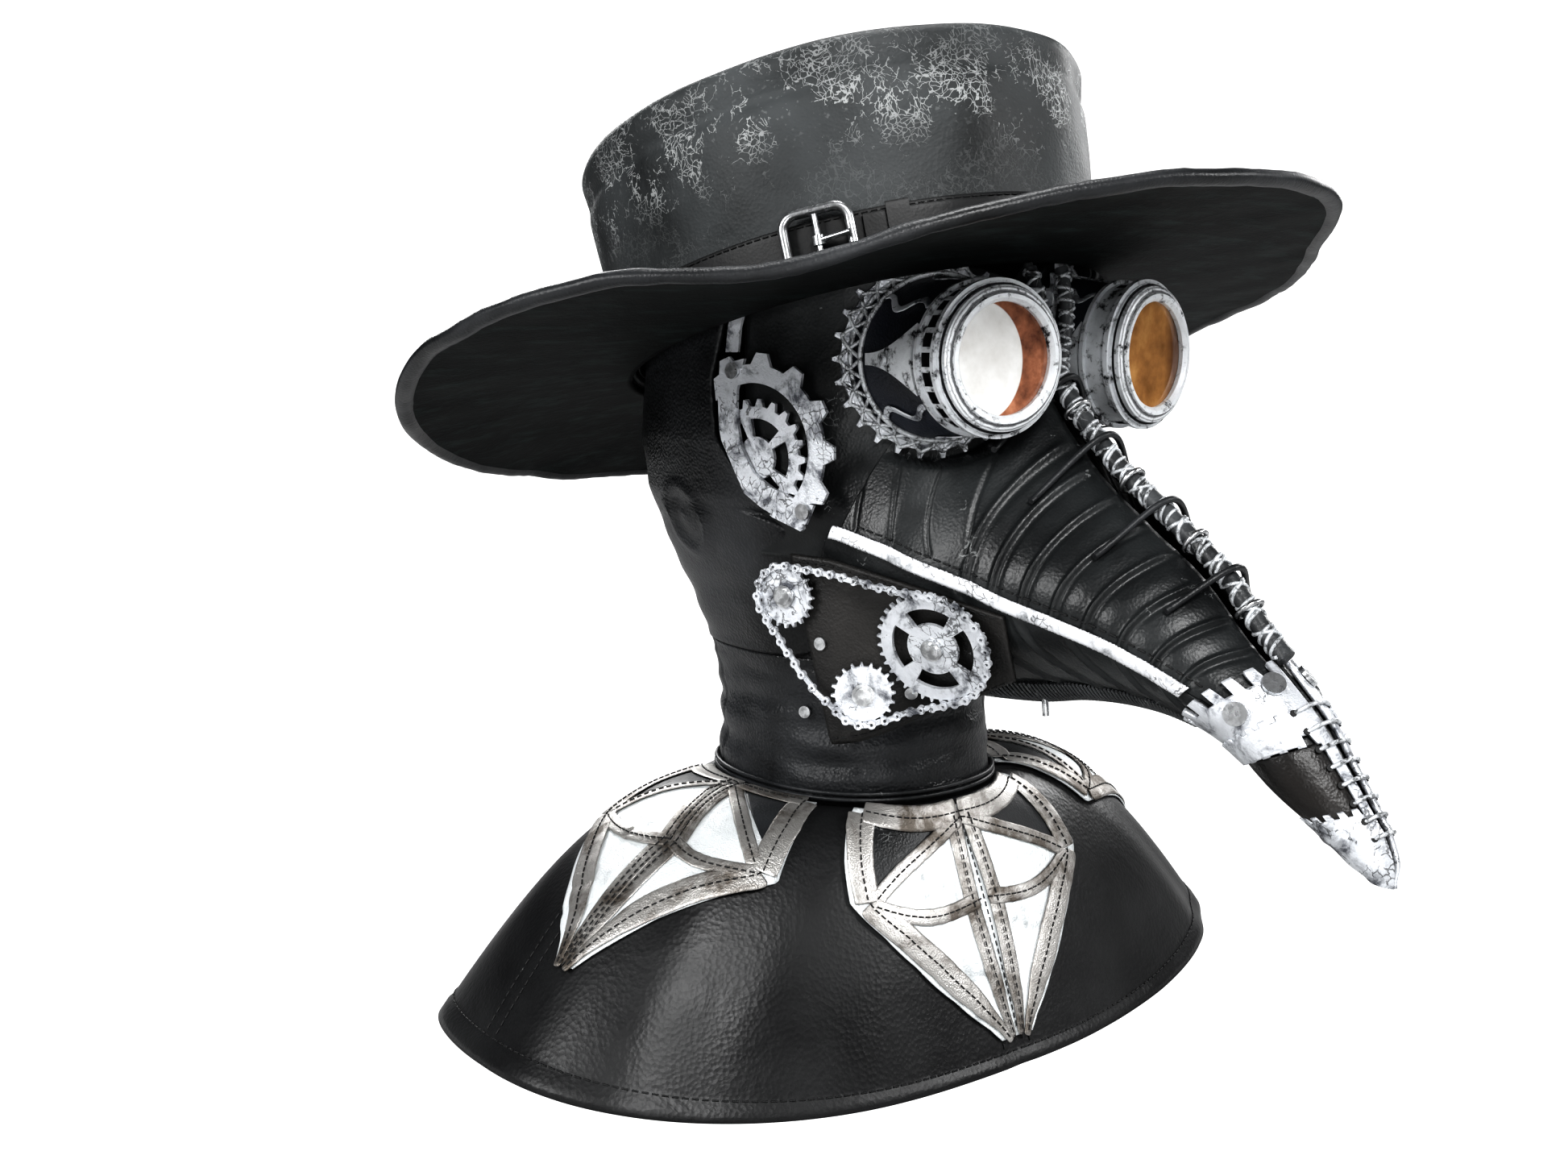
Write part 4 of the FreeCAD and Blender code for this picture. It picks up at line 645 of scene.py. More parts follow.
def brimHide():
    made, tree, shader, spot = startFinish("brushedBrim", "hat_leather")
    grain = group(tree, grainGroup, spot, Pores=800.0, Creases=70.0)
    long = put(tree, "ShaderNodeMapping", ("Vector", spot))
    long.inputs["Scale"].default_value = (0.28, 1.0, 1.0)
    long.inputs["Rotation"].default_value = (0, 0, 0.5)
    streak = put(tree, "ShaderNodeTexNoise", ("Vector", long.outputs[0]), Scale=130.0, Detail=8.0,
                 Roughness=0.7).outputs[0]
    mask = ramp(tree, streak, [(0.5, 0.0), (0.72, 1.0)])
    tree.links.new(blendTone(tree, mask, (0.003, 0.004, 0.004), (0.018, 0.027, 0.026)),
                   shader.inputs["Base Color"])
    shader.inputs["Roughness"].default_value = 0.7
    shader.inputs["Specular IOR Level"].default_value = 0.2
    bump(tree, shader, plus(tree, grain["Height"], streak), 0.0002)
    return made


def silverHide(name, light=(0.72, 0.74, 0.77), dark=(0.10, 0.105, 0.12), wearAndReflectionLevel=0.48, metal=0.5, rough=0.3,
               slot="silver_leather", scale=90.0, depth=0.0002, specks=True):
    made, tree, shader, spot = startFinish(name, slot)
    cloud = cloudy(tree, spot, Scale=scale, Detail=9.0, Roughness=0.68, Distortion=0.4)
    grain = group(tree, grainGroup, spot, Pores=1300.0, Creases=130.0)
    # darker patches where the cloud passes the level: wear and uneven paint on most pieces, painted
    # reflection on the kite frames
    mask = ramp(tree, cloud, [(wearAndReflectionLevel - 0.12, 1.0), (wearAndReflectionLevel + 0.02, 0.18), (wearAndReflectionLevel + 0.2, 0.0)])
    colour = blendTone(tree, mask, light, dark)
    if specks:
        marks = group(tree, scuffGroup, spot, Scale=260.0, Width=0.05, Patch=0.53)
        colour = blendTone(tree, times(tree, marks["Mask"], 0.7), colour, (0.03, 0.03, 0.03))
    tree.links.new(colour, shader.inputs["Base Color"])
    shader.inputs["Metallic"].default_value = metal
    tree.links.new(ramp(tree, cloud, [(0.3, rough + 0.2), (0.7, rough)]), shader.inputs["Roughness"])
    bump(tree, shader, grain["Height"], depth)
    return made


def eyeCoordinates(tree, spot):  # distance from the eyepiece's axis, either side
    parts = put(tree, "ShaderNodeSeparateXYZ", ("Vector", spot))
    side = maths(tree, "ABSOLUTE", parts.outputs["X"])
    both = put(tree, "ShaderNodeCombineXYZ", ("X", side), ("Y", parts.outputs["Y"]),
               ("Z", parts.outputs["Z"]))
    turn = put(tree, "ShaderNodeMapping", ("Vector", both.outputs[0]), vector_type="TEXTURE")
    turn.inputs["Location"].default_value = (eyeSizes["x"] * mm, -eyeSizes["ahead"] * mm,
                                             eyeSizes["up"] * mm)
    turn.inputs["Rotation"].default_value = (0, 0, math.radians(eyeSizes["splay"]))
    own = put(tree, "ShaderNodeSeparateXYZ", ("Vector", turn.outputs[0])).outputs
    far = maths(tree, "SQRT", plus(tree, times(tree, own["X"], own["X"]),
                                    times(tree, own["Z"], own["Z"])))
    return own, times(tree, far, 1000.0)


def paintedRing():
    made, tree, shader, spot = startFinish("paintedRing", "painted_ring")
    own, far = eyeCoordinates(tree, spot)
    cloud = cloudy(tree, spot, Scale=190.0, Detail=8.0, Roughness=0.7)
    groove = plus(tree, far, times(tree, minus(tree, cloud, 0.5), 1.6))
    rows = [(0.0, 0.0), (0.858, 0.0), (0.862, 0.9), (0.892, 0.75), (0.9, 0.0), (0.925, 0.0), (0.93, 0.75),
            (0.945, 0.1), (0.958, 0.0), (1.0, 0.0)]
    dark = ramp(tree, times(tree, groove, 1.0 / 29.0), rows)
    worn = ramp(tree, cloud, [(0.36, 1.0), (0.46, 0.12), (0.7, 0.0)])
    colour = blendTone(tree, maths(tree, "MAXIMUM", dark, worn), (0.74, 0.76, 0.78), (0.018, 0.018, 0.02))
    tree.links.new(colour, shader.inputs["Base Color"])
    shader.inputs["Metallic"].default_value = 0.35
    tree.links.new(ramp(tree, cloud, [(0.3, 0.6), (0.7, 0.34)]), shader.inputs["Roughness"])
    bump(tree, shader, cloud, 0.0004)
    return made


def collarPaint():
    made, tree, shader, spot = startFinish("collarPaint", "painted_ring")
    own, far = eyeCoordinates(tree, spot)
    cloud = cloudy(tree, spot, Scale=160.0, Detail=8.0, Roughness=0.7)
    edge = plus(tree, far, times(tree, minus(tree, cloud, 0.5), 1.2))
    inside = ramp(tree, times(tree, edge, 1.0 / 32.0), [(0.0, 1.0), (0.895, 1.0), (0.905, 0.0)])
    worn = ramp(tree, cloud, [(0.38, 1.0), (0.48, 0.15), (0.7, 0.0)])
    colour = blendTone(tree, maths(tree, "MAXIMUM", inside, worn), (0.68, 0.7, 0.72),
                       (0.014, 0.014, 0.016))
    tree.links.new(colour, shader.inputs["Base Color"])
    shader.inputs["Metallic"].default_value = 0.35
    shader.inputs["Roughness"].default_value = 0.45
    bump(tree, shader, cloud, 0.0004)
    return made


def metal(name, tone=(0.72, 0.73, 0.74), rough=0.24, slot="bright_metal"):
    made, tree, shader, spot = startFinish(name, slot)
    cloud = cloudy(tree, spot, Scale=260.0, Detail=6.0)
    tree.links.new(blendTone(tree, ramp(tree, cloud, [(0.42, 1.0), (0.6, 0.0)]), tone,
                             tuple(c * 0.45 for c in tone)), shader.inputs["Base Color"])
    shader.inputs["Metallic"].default_value = 1.0
    tree.links.new(ramp(tree, cloud, [(0.3, rough + 0.16), (0.7, rough)]), shader.inputs["Roughness"])
    bump(tree, shader, cloud, 0.00008)
    return made


def lensGlass(name, near):  # copper tinted lens: the right one has a painted reflection, a pale patch in its colour, the left one is amber with painted shade along its outer edge
    made, tree, shader, spot = startFinish(name, "tinted_glass")
    own, far = eyeCoordinates(tree, spot)
    sideways = times(tree, own["X"], 1000.0)  # outward is positive
    upright = times(tree, own["Z"], 1000.0)
    cloud = cloudy(tree, spot, Scale=70.0, Detail=6.0, Roughness=0.6)
    if near:
        offset = minus(tree, sideways, 9.5)
        high = minus(tree, upright, -1.0)
        reach = maths(tree, "SQRT", plus(tree, times(tree, offset, offset),
                                          times(tree, times(tree, high, high), 0.72)))
        # painted reflection: a pale patch in the lens colour stands in for a lamp mirrored in the glass,
        # with the copper tint round it
        paintedReflectionMask = ramp(tree, times(tree, reach, 0.04), [(0.0, 1.0), (0.76, 1.0), (0.775, 0.0)])
        copper = ramp(tree, cloud, [(0.3, (0.07, 0.03, 0.022)), (0.5, (0.30, 0.13, 0.075)),
                                    (0.66, (0.52, 0.25, 0.15))])
        paintedReflectionTone = ramp(tree, cloud, [(0.3, (0.62, 0.61, 0.59)), (0.7, (0.80, 0.80, 0.79))])
        colour = blendTone(tree, paintedReflectionMask, copper, paintedReflectionTone)
    else:
        # painted shade: the lens colour darkens to near black along its outer edge
        edge = ramp(tree, times(tree, plus(tree, sideways, 22.0), 1.0 / 44.0),
                    [(0.0, 0.0), (0.72, 0.05), (0.9, 0.85)])
        amber = ramp(tree, cloud, [(0.25, (0.16, 0.075, 0.028)), (0.5, (0.34, 0.17, 0.06)),
                                   (0.72, (0.52, 0.29, 0.11))])
        colour = blendTone(tree, edge, amber, (0.07, 0.028, 0.015))
    tree.links.new(colour, shader.inputs["Base Color"])
    shader.inputs["Roughness"].default_value = 0.12
    shader.inputs["Metallic"].default_value = 0.1
    shader.inputs["Coat Weight"].default_value = 0.6
    bump(tree, shader, cloud, 0.00005)
    return made


blackLeather = blackHide("blackLeather")
mantleLeather = blackHide("mantleLeather", pores=520.0, creases=38.0, depth=0.0003, rough=(0.36, 0.5),
                          scratch=0.9,
                          dark=(0.007, 0.007, 0.0075), worn=(0.016, 0.0165, 0.017))
hoodLeather = blackHide("hoodLeather", pores=700.0, creases=34.0, depth=0.0007, rough=(0.33, 0.5),
                        scratch=0.72)
beakLeather = blackHide("beakLeather", pores=800.0, creases=70.0, depth=0.00022, rough=(0.3, 0.48),
                        scratch=0.62,
                        worn=(0.03, 0.033, 0.034))
bandLeather = blackHide("bandLeather", rough=(0.42, 0.55), scratch=0.9, worn=(0.012, 0.012, 0.012),
                        depth=0.00012)
insetLeather = blackHide("insetLeather", rough=(0.3, 0.42), scratch=0.8, worn=(0.015, 0.012, 0.010))
panelLeather = blackHide("panelLeather", dark=(0.007, 0.0068, 0.0066), worn=(0.026, 0.0245, 0.023),
                         rough=(0.4, 0.6), creases=80.0,
                         depth=0.0004, scratch=0.62)
wornEdge = blackHide("wornEdge", worn=(0.10, 0.105, 0.11), creases=120.0, scratch=0.55)
cupLeather = blackHide("cupLeather", "cup_leather", dark=(0.006, 0.007, 0.010), worn=(0.03, 0.034, 0.046),
                       creases=90.0, depth=0.0004)
liningCloth = blackHide("liningCloth", "lining", rough=(0.7, 0.85), creases=200.0)
threadBlack = blackHide("threadBlack", worn=(0.02, 0.02, 0.02), rough=(0.5, 0.7), creases=400.0)
crownLeather, brimLeather = crownHide(), brimHide()
silverLeather = silverHide("silverLeather")
# kite frames: the broad brownish dark patches are painted reflection on the silver
kiteFrame = silverHide("kiteFrame", light=(0.50, 0.49, 0.475), dark=(0.13, 0.115, 0.10), wearAndReflectionLevel=0.5,
                       metal=0.75, rough=0.32,
                       scale=34.0, depth=0.0003, specks=False)
kiteWindow = silverHide("kiteWindow", light=(0.80, 0.83, 0.84), dark=(0.42, 0.44, 0.45), wearAndReflectionLevel=0.43,
                        metal=0.3, rough=0.32,
                        scale=60.0, depth=0.0004, specks=False)
trimLeather = silverHide("trimLeather", light=(0.72, 0.73, 0.75), dark=(0.22, 0.23, 0.24), wearAndReflectionLevel=0.44,
                         metal=0.2, rough=0.45,
                         scale=120.0)
silverCord = silverHide("silverCord", light=(0.62, 0.64, 0.66), dark=(0.03, 0.03, 0.03), wearAndReflectionLevel=0.48,
                        metal=0.4, rough=0.4,
                        slot="cord", scale=330.0)
ringPaint, collarFinish = paintedRing(), collarPaint()
brightMetal = metal("brightMetal")
lensRight, lensLeft = lensGlass("lensRightGlass", True), lensGlass("lensLeftGlass", False)
print("finishes mixed")

dress = {
    "black": (blackLeather, ["ridge_thongs", "jaw_seam"]),
    "cup": (cupLeather, ["eyecup_right", "eyecup_left"]),
    "silver": (silverLeather, ["eyecup_base_rings", "cheek_sprockets_large", "cheek_sprockets_small",
                               "cheek_chains", "temple_rings",
                               "temple_gears", "temple_strips"]),
    "ring": (ringPaint, ["lens_ring_right", "lens_ring_left"]),
    "collar": (collarFinish, ["eyecup_collars", "eyecup_brackets"]),
    "metal": (brightMetal, ["hat_buckle_frame", "hat_buckle_prong", "ridge_rings", "tip_rivets",
                            "jaw_pin", "cheek_cap_rivets", "temple_rivets", "neck_snaps"]),
    "lensRight": (lensRight, ["lens_right"]),
    "lensLeft": (lensLeft, ["lens_left"]),
}
for finish, nodes in dress.values():
    for name in nodes:
        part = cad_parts[name]
        part.data.materials.clear()
        part.data.materials.append(finish)
print("fittings dressed")

# ---- hat
crownShape = {"columns": 160, "rows": 60, "wall": 1.9, "sag": 1.6, "crease": 1.6}
crownRows = [(0.6, 0.0), (14.0, -0.4), (34.0, 0.2), (55.0, 0.8), (70.0, 0.9), (77.0, -0.6), (82.0, 0.2),
             (88.0, 0.9),
             (92.0, -0.4), (94.5, -3.5), (95.2, -9.0), (94.6, -25.0), (94.0, -60.0), (93.5, -107.0)]


def crownOn(u, v):
    angle = 2 * math.pi * u
    height, out = along(crownRows, v * (len(crownRows) - 1))
    point = crownAt(height, 0.0, angle)
    shrink = 1.0 + out / 107.0
    point = Vector((point.x * max(shrink, 0.0002), point.y * max(shrink, 0.0002), height))
    soft = crownShape["sag"] * min(height / 40.0, 1.0)
    swell = wobble(point, 34.0, soft) + lump(height, 77.0, 6.0) * wobble(point, 22.0,
                                                                         crownShape["crease"])
    point.x *= 1.0 + swell / 110.0
    point.y *= 1.0 + swell / 110.0
    if v > 0.75:
        point.z += wobble(point, 45.0, 1.0)
    return hatPoint(point)


crownCore = hatPoint(Vector((0, 0, 40))) * mm
crown = hide("hatCrown", crownShape["columns"], crownShape["rows"], crownOn, lambda c: crownCore,
             crownShape["wall"],
             loop=True)
settle(crown, crownLeather, "hat", ["hat_crown_side", "hat_crown_top"])

brimShape = {"columns": 240, "rows": 34, "wall": 3.4, "ripple": 1.5}


def brimLift(angle, reach):
    point = rimAt(angle, reach, 0.0)
    return wobble(point, 26.0, brimShape["ripple"] * reach ** 2) + wobble(point, 60.0, 1.2 * reach)


def brimOn(u, v):
    angle, reach = 2 * math.pi * u, v * 0.985
    return hatPoint(rimAt(angle, reach, brimLift(angle, reach)))


brim = hide("hatBrim", brimShape["columns"], brimShape["rows"], brimOn,
            lambda c: c - Vector((0, -0.27, 0.96)),
            brimShape["wall"], loop=True)
settle(brim, brimLeather, "hat", ["hat_brim"])


def rollOn(u, v):  # folded binding along the rim, hugging both faces of the brim
    angle = 2 * math.pi * u
    turn = math.pi * 0.16 + (2 * math.pi - math.pi * 0.32) * v
    across = -math.cos(turn) * 4.2 - 1.2
    up = math.sin(turn) * (3.0 + wobble(rimAt(angle, 1.0, 0.0), 7.0, 0.5))
    reach = 0.985 + across / 110.0
    return hatPoint(rimAt(angle, reach, brimLift(angle, 0.985) - 1.7 + up))


binding = hide("hatBinding", 300, 14, rollOn, None, 0.0, loop=True)
faceOut(binding)
settle(binding, blackLeather, "hat", ["hat_brim_binding"])
bandShape = {"low": 0.8, "tall": 24.0, "gap": 0.4, "thick": 2.4}


# strap round the crown, edges rubbed round
def bandOn(low, tall, near, thick, first=0.0, last=2 * math.pi):
    def on(u, v):
        angle = first + (last - first) * u
        turn = -math.pi / 2 + 2 * math.pi * v
        high = low + tall / 2 + tall / 2 * math.copysign(abs(math.sin(turn)) ** 0.25, math.sin(turn))
        out = near + thick / 2 + thick / 2 * math.copysign(abs(math.cos(turn)) ** 0.5, math.cos(turn))
        return hatPoint(crownAt(high, out + wobble(crownAt(high, 0, angle), 12.0, 0.25), angle))
    return on


def crownward(centre):
    return hatPoint(Vector((0, 0, 12))) * mm


band = hide("hatBand", 180, 28, bandOn(bandShape["low"], bandShape["tall"], bandShape["gap"],
                                       bandShape["thick"]), crownward, loop=True)
settle(band, bandLeather, "hat", ["hat_band"])
sweat = hide("sweatband", 120, 20, bandOn(2.0, 32.0, -4.6, 1.2), crownward, loop=True)
settle(sweat, liningCloth, "hat", ["hat_sweatband"])
buckleTurn = math.radians(-50.0)
tail = hide("bandTail", 40, 28, bandOn(3.0, 19.6, 3.2, 2.2, buckleTurn + 0.16, buckleTurn + 0.62),
            crownward, loop=True)
settle(tail, bandLeather, "hat", ["hat_band_tail"])
keeper = hide("bandKeeper", 12, 28, bandOn(0.9, 24.0, 5.8, 1.8, buckleTurn + 0.24, buckleTurn + 0.32),
              crownward,
              loop=True)
settle(keeper, bandLeather, "hat", ["hat_band_keeper"])
bandStitch = []
for height in (2.2, 23.4):
    path = [hatPoint(crownAt(height, 3.0, 2 * math.pi * k / 220)) for k in range(221)]
    bandStitch += stitchRun(path, 2.6, 1.4)
settle(strands("bandStitches", bandStitch, 0.35, 1), threadBlack, "hat")
print("hat made")

# ---- beak
ribSpots = [2.65, 3.0, 3.45, 3.95, 4.45, 5.0, 5.57, 6.07]
cutLines = [(0.02, 0.46, 0.58, 0.61), (0.55, 0.42, 1.38, 0.56), (1.48, 0.33, 2.15, 0.50),
            (2.18, 0.19, 2.60, 0.45)]
beakShape = {"rib": 1.5, "ribWide": 0.95, "puff": 0.35, "cut": 1.0, "wall": 2.6, "pleat": 1.0}


def ribHeight(t, s):
    reach = s / max(mouthS(t), 0.1)
    drift = -0.10 * math.sin(math.pi * min(reach, 1.0))
    fade = ease(s / 0.06) * ease((1.0 - reach) / 0.06)
    high = 0.0
    for k, spot in enumerate(ribSpots):
        away = (t - spot - drift) * 29.0
        if abs(away) < 12:
            high += beakShape["rib"] * lump(away, 0.0, beakShape["ribWide"]) - 0.55 * lump(away, 2.4, 1.2)
            high += beakShape["puff"] * lump(away, -7.0, 4.0)
    return high * fade


def cutDepth(t, s):
    depth = 0.0
    for t0, s0, t1, s1 in cutLines:
        run = Vector(((t1 - t0) * 30.0, (s1 - s0) * 130.0))
        spot = Vector(((t - t0) * 30.0, (s - s0) * 130.0))
        share = min(max(spot.dot(run) / run.dot(run), 0.0), 1.0)
        depth += beakShape["cut"] * lump((spot - run * share).length, 0.0, 0.8)
    return depth


def upperOn(u, v):
    t = 0.3 + 6.3 * u / 0.92 if u < 0.92 else 6.6 + 2.4 * (u - 0.92) / 0.08
    s = 0.012 + (mouthS(t) - 0.018) * v
    point = beakAt(t, s, 0.0)
    if t < 1.75:
        lift = 0.0
    else:
        lift = ribHeight(t, s)
    lift += wobble(point, 24.0, 0.7) - cutDepth(t, s)
    if t > 6.35:
        lift = -0.5
    spot = beakAt(t, s, lift)
    return flatUnderCup(spot)


def beakCore(centre):
    return Vector((0, centre.y + 0.02, centre.z - 0.01))


upper = hide("beakUpper", 300, 58, upperOn, beakCore, beakShape["wall"], mirror=True)
settle(upper, beakLeather, "hood", ["beak_upper_right", "beak_upper_left"])


def lowerOn(u, v):
    t = 9.0 * u
    first, last = mouthS(t) + 0.006, 0.988 - 0.09 * max(1.0 - t / 1.2, 0.0)
    s = first + (last - first) * v
    point = beakAt(t, s, 0.0)
    lift = wobble(point, 20.0, 0.8)
    if 2.2 < t < 6.3:
        for k in range(5):
            away = (t - (2.55 + 0.8 * k) - 1.5 * v ** 1.4) * 26.0
            lift += beakShape["pleat"] * (lump(away, 0.0, 1.2) - 0.5 * lump(away, 3.0, 1.6)) * ease(v
                                                                                                    / 0.1)
    if t > 6.35:
        lift = -0.5
    return beakAt(t, s, lift)


lower = hide("beakLower", 220, 34, lowerOn, beakCore, beakShape["wall"], mirror=True)
settle(lower, beakLeather, "hood", ["beak_lower_right", "beak_lower_left"])

trimShape = {"half": 2.7, "fray": 0.45, "thick": 1.5, "stitchUp": 5.2}


def trimOn(u, v):
    t = 0.15 + 6.0 * u
    row = along(beakRows, t)
    tall = math.hypot(row[2] - row[0], row[3] - row[1])
    side = 2 * v - 1
    fray = trimShape["fray"] * noise.noise(Vector((u * 260.0, side * 3.0, 5.0)))
    return beakAt(t, mouthS(t) + (side * trimShape["half"] + side * side * side * fray) / tall,
                  2.1 - 0.35 * side ** 4)


trim = hide("mouthTrim", 340, 7, trimOn, beakCore, trimShape["thick"], mirror=True, weld=0)
settle(trim, trimLeather, "hood", ["mouth_trims"])


tipShape = {"rear": 6.52, "tooth": 0.21, "teeth": 7, "windowRear": 7.46, "windowFront": 8.5,
            "windowTop": 0.055,
            "plate": 1.9, "lift": 2.3}


def squareWave(x):  # 0 in the gaps, 1 on the teeth, with slightly sloping flanks
    phase = x - math.floor(x)
    return ease((phase - 0.22) / 0.06) * (1.0 - ease((phase - 0.72) / 0.06))


def tipOn(u, v):
    s = 0.010 + 0.976 * v
    rear = tipShape["rear"] - tipShape["tooth"] * squareWave(tipShape["teeth"] * (s + 0.015) ** 0.72)
    t = rear + (9.97 - rear) * u
    spot = beakAt(t, s, 0.0)
    lift = tipShape["lift"] + wobble(spot, 9.0, 0.35) + 0.5 * lump((t - 8.8) * 20.0, 0.0, 1.5)
    return beakAt(t, s, lift * (1.0 - 0.75 * ease((t - 9.3) / 0.6)))


def cutWindow(piece, inside):  # takes the faces out where inside(u, v) of the grid says so
    alone()
    work = bmesh.new()
    work.from_mesh(piece.data)
    bmesh.ops.delete(work, geom=[f for f in work.faces if inside(f)], context="FACES")
    work.to_mesh(piece.data)
    work.free()


tipCells = {"across": 110, "down": 220}
tipShell = hide("tipShell", tipCells["across"], tipCells["down"], tipOn, beakCore)
columns = tipCells["across"]


def overWindow(face):
    u = (face.index % columns + 0.5) / columns
    v = (face.index // columns + 0.5) / tipCells["down"]
    s = 0.010 + 0.976 * v
    t = tipShape["rear"] + (9.97 - tipShape["rear"]) * u
    return tipShape["windowRear"] < t < tipShape["windowFront"] and s > tipShape["windowTop"]


cutWindow(tipShell, overWindow)
shellTwin = tipShell.modifiers.new("twin", "MIRROR")
shellTwin.use_mirror_merge = True
shellTwin.merge_threshold = 0.7 * mm
shellWall = tipShell.modifiers.new("wall", "SOLIDIFY")
shellWall.thickness = tipShape["plate"] * mm
shellWall.offset = -1.0
applyAll(tipShell)
settle(tipShell, silverLeather, "hood", ["tip_plates", "tip_front_strips", "tip_cap"])


lacing, holes = [], []
for k in range(8):
    t = 6.98 + 0.265 * k
    near, over = beakAt(t + 0.03, 0.075, 2.9), ridgeAt(t, 3.5)
    middle = beakAt(t, 0.02, 3.9)
    far = [Vector((-p.x, p.y, p.z)) for p in (middle, near)]
    lacing.append([beakAt(t + 0.03, 0.085, 1.6), near, middle, over, far[0], far[1]])
    holes.append([beakAt(t + 0.03, 0.088, 2.0), beakAt(t + 0.03, 0.088, 2.75)])
settle(strands("tipLacing", lacing, 0.8, 2), silverCord, "hood", ["tip_lacing"])
settle(strands("tipHoles", holes, 1.3, 2, mirror=True), threadBlack)


def overlayOn(u, v):  # second toothed plate over the lower half
    s = 0.17 + 0.80 * v
    rear = 7.02 - 0.07 * squareWave(9 * s) + 0.10 * s
    t = rear + (7.44 - rear) * u
    return beakAt(t, s, tipShape["lift"] + 0.9 + wobble(beakAt(t, s, 0), 9.0, 0.35))


overlay = hide("tipOverlay", 16, 120, overlayOn, beakCore, 1.0, mirror=True, weld=0)
settle(overlay, silverLeather, "hood", ["tip_plates_engraved"])


def insetOn(u, v):
    t, s = 7.44 + 1.08 * u, 0.05 + 0.92 * v
    swell = 1.5 * (math.sin(math.pi * u) * math.sin(math.pi
                                                    * v)) ** 0.35 if 0 < u < 1 and 0 < v < 1 else 0.0
    return beakAt(t, s, 0.9 + swell + wobble(beakAt(t, s, 0), 5.0, 0.15))


inset = hide("tipInset", 34, 40, insetOn, beakCore, 0.6, mirror=True, weld=0)
settle(inset, insetLeather, "hood", ["tip_insets"])
path = []
for t in steps(0.6, 6.3, 160):
    row = along(beakRows, t)
    s = mouthS(t) - trimShape["stitchUp"] / math.hypot(row[2] - row[0], row[3] - row[1])
    path.append(beakAt(t, s, 0.25 + ribHeight(t, s)))
mouthStitch = stitchRun(path, 3.0, 1.6)
settle(strands("mouthStitches", mouthStitch, 0.4, 1, mirror=True), threadBlack)
print("beak made")


# ---- sides of the face
def beakHalf(y, z):  # half width of the beak where a slice passes through y, z
    for k in range(61):
        row = along(beakRows, k * 0.05)
        s = (row[1] - z) / (row[1] - row[3])
        if 0.0 < s < 1.0 and row[0] + (row[2] - row[0]) * s <= y:
            return -beakPoint(k * 0.05, s).x
    return 0.0


wingShape = {"low": -64.0, "tall": 103.0, "slope": 0.26, "rear": 1.38, "wall": 2.4}
wingStart = []
for k in range(13):
    first = 0.12
    while first < 1.2:
        probe = faceAt(first, 0, -3.0)
        level = wingShape["low"] + (wingShape["tall"] - wingShape["slope"] * probe.y) * k / 12.0
        if -probe.x > beakHalf(probe.y, level) + 1.2:
            break
        first += 0.01
    wingStart.append((k / 12.0, first))


def wingOn(u, v):
    first = steer(wingStart, v)
    point = faceAt(first + (wingShape["rear"] - first) * u, 0, 0.0)
    point.z = wingShape["low"] + (wingShape["tall"] - wingShape["slope"] * point.y) * v
    point.x += 7.0 * ease((-34.0 - point.z) / 26.0)
    row = along(beakRows, 0.62)
    tuck = beakAt(0.62, min(max((row[1] - point.z) / (row[1] - row[3]), 0.03), 0.97), -3.2)
    if tuck.y < point.y + 20.0:
        point = tuck + (point - tuck) * ease(u / 0.34)
    point += Vector((-1, -0.3, 0)).normalized() * wobble(point, 20.0, 0.5)
    return flatUnderCup(point)


wings = hide("faceSides", 60, 62, wingOn, lambda c: Vector((0, 0, c.z)), wingShape["wall"], mirror=True,
             weld=0)
settle(wings, beakLeather, "hood", ["mask_face_right", "mask_face_left"])
print("face made")

cheekTop = [(2, -60.5), (20, -61.5), (46, -67.0), (96, -80.5)]
cheekLow = [(21, -138.5), (32, -137.0), (45, -133.0), (70, -122.5), (98, -108)]


def panelOn(u, v):
    topU, lowU = 2.0 + 94.0 * u, 21.0 + 76.5 * u
    topV, lowV = steer(cheekTop, topU), steer(cheekLow, lowU)
    high = 2.4 + wobble(Vector((topU, v * 60, 0)), 22.0, 0.5) - 1.0 * ease((v - 0.95) / 0.05)
    return cheekAt(topU + (lowU - topU) * v, topV + (lowV - topV) * v, high)


panel = hide("cheekPanel", 60, 44, panelOn, lambda c: Vector((0, c.y, c.z)), 2.1, mirror=True, weld=0)
settle(panel, panelLeather, "hood", ["cheek_panel_right", "cheek_panel_left"])
panelStitch = []
for share in (0.035, 0.965):
    panelStitch += stitchRun([panelOn(u, share) + cheekN * 0.15 for u in steps(0.02, 0.98, 60)], 2.6, 1.5)
settle(strands("panelStitches", panelStitch, 0.35, 1, mirror=True), threadBlack)

# ---- hood and neck
hoodShape = {"low": -111.0, "tall": 220.4, "wall": 2.0, "wrinkle": 1.6, "ear": 1.3}
hoodStarts = [(z, hoodStart(z)) for z in range(-112, 111, 3)]


def hoodFolds(point):
    low = ease((-40.0 - point.z) / 60.0)
    squash = Vector((point.x / 40.0, point.y / 40.0, point.z / 13.0))
    lift = noise.noise(squash) * hoodShape["wrinkle"] * (0.35 + low)
    ear = math.hypot((point.y - 22.0), (point.z + 52.0))
    lift += hoodShape["ear"] * (lump(ear, 15.0, 3.0) - 0.7 * lump(ear, 8.0, 4.0))
    return lift


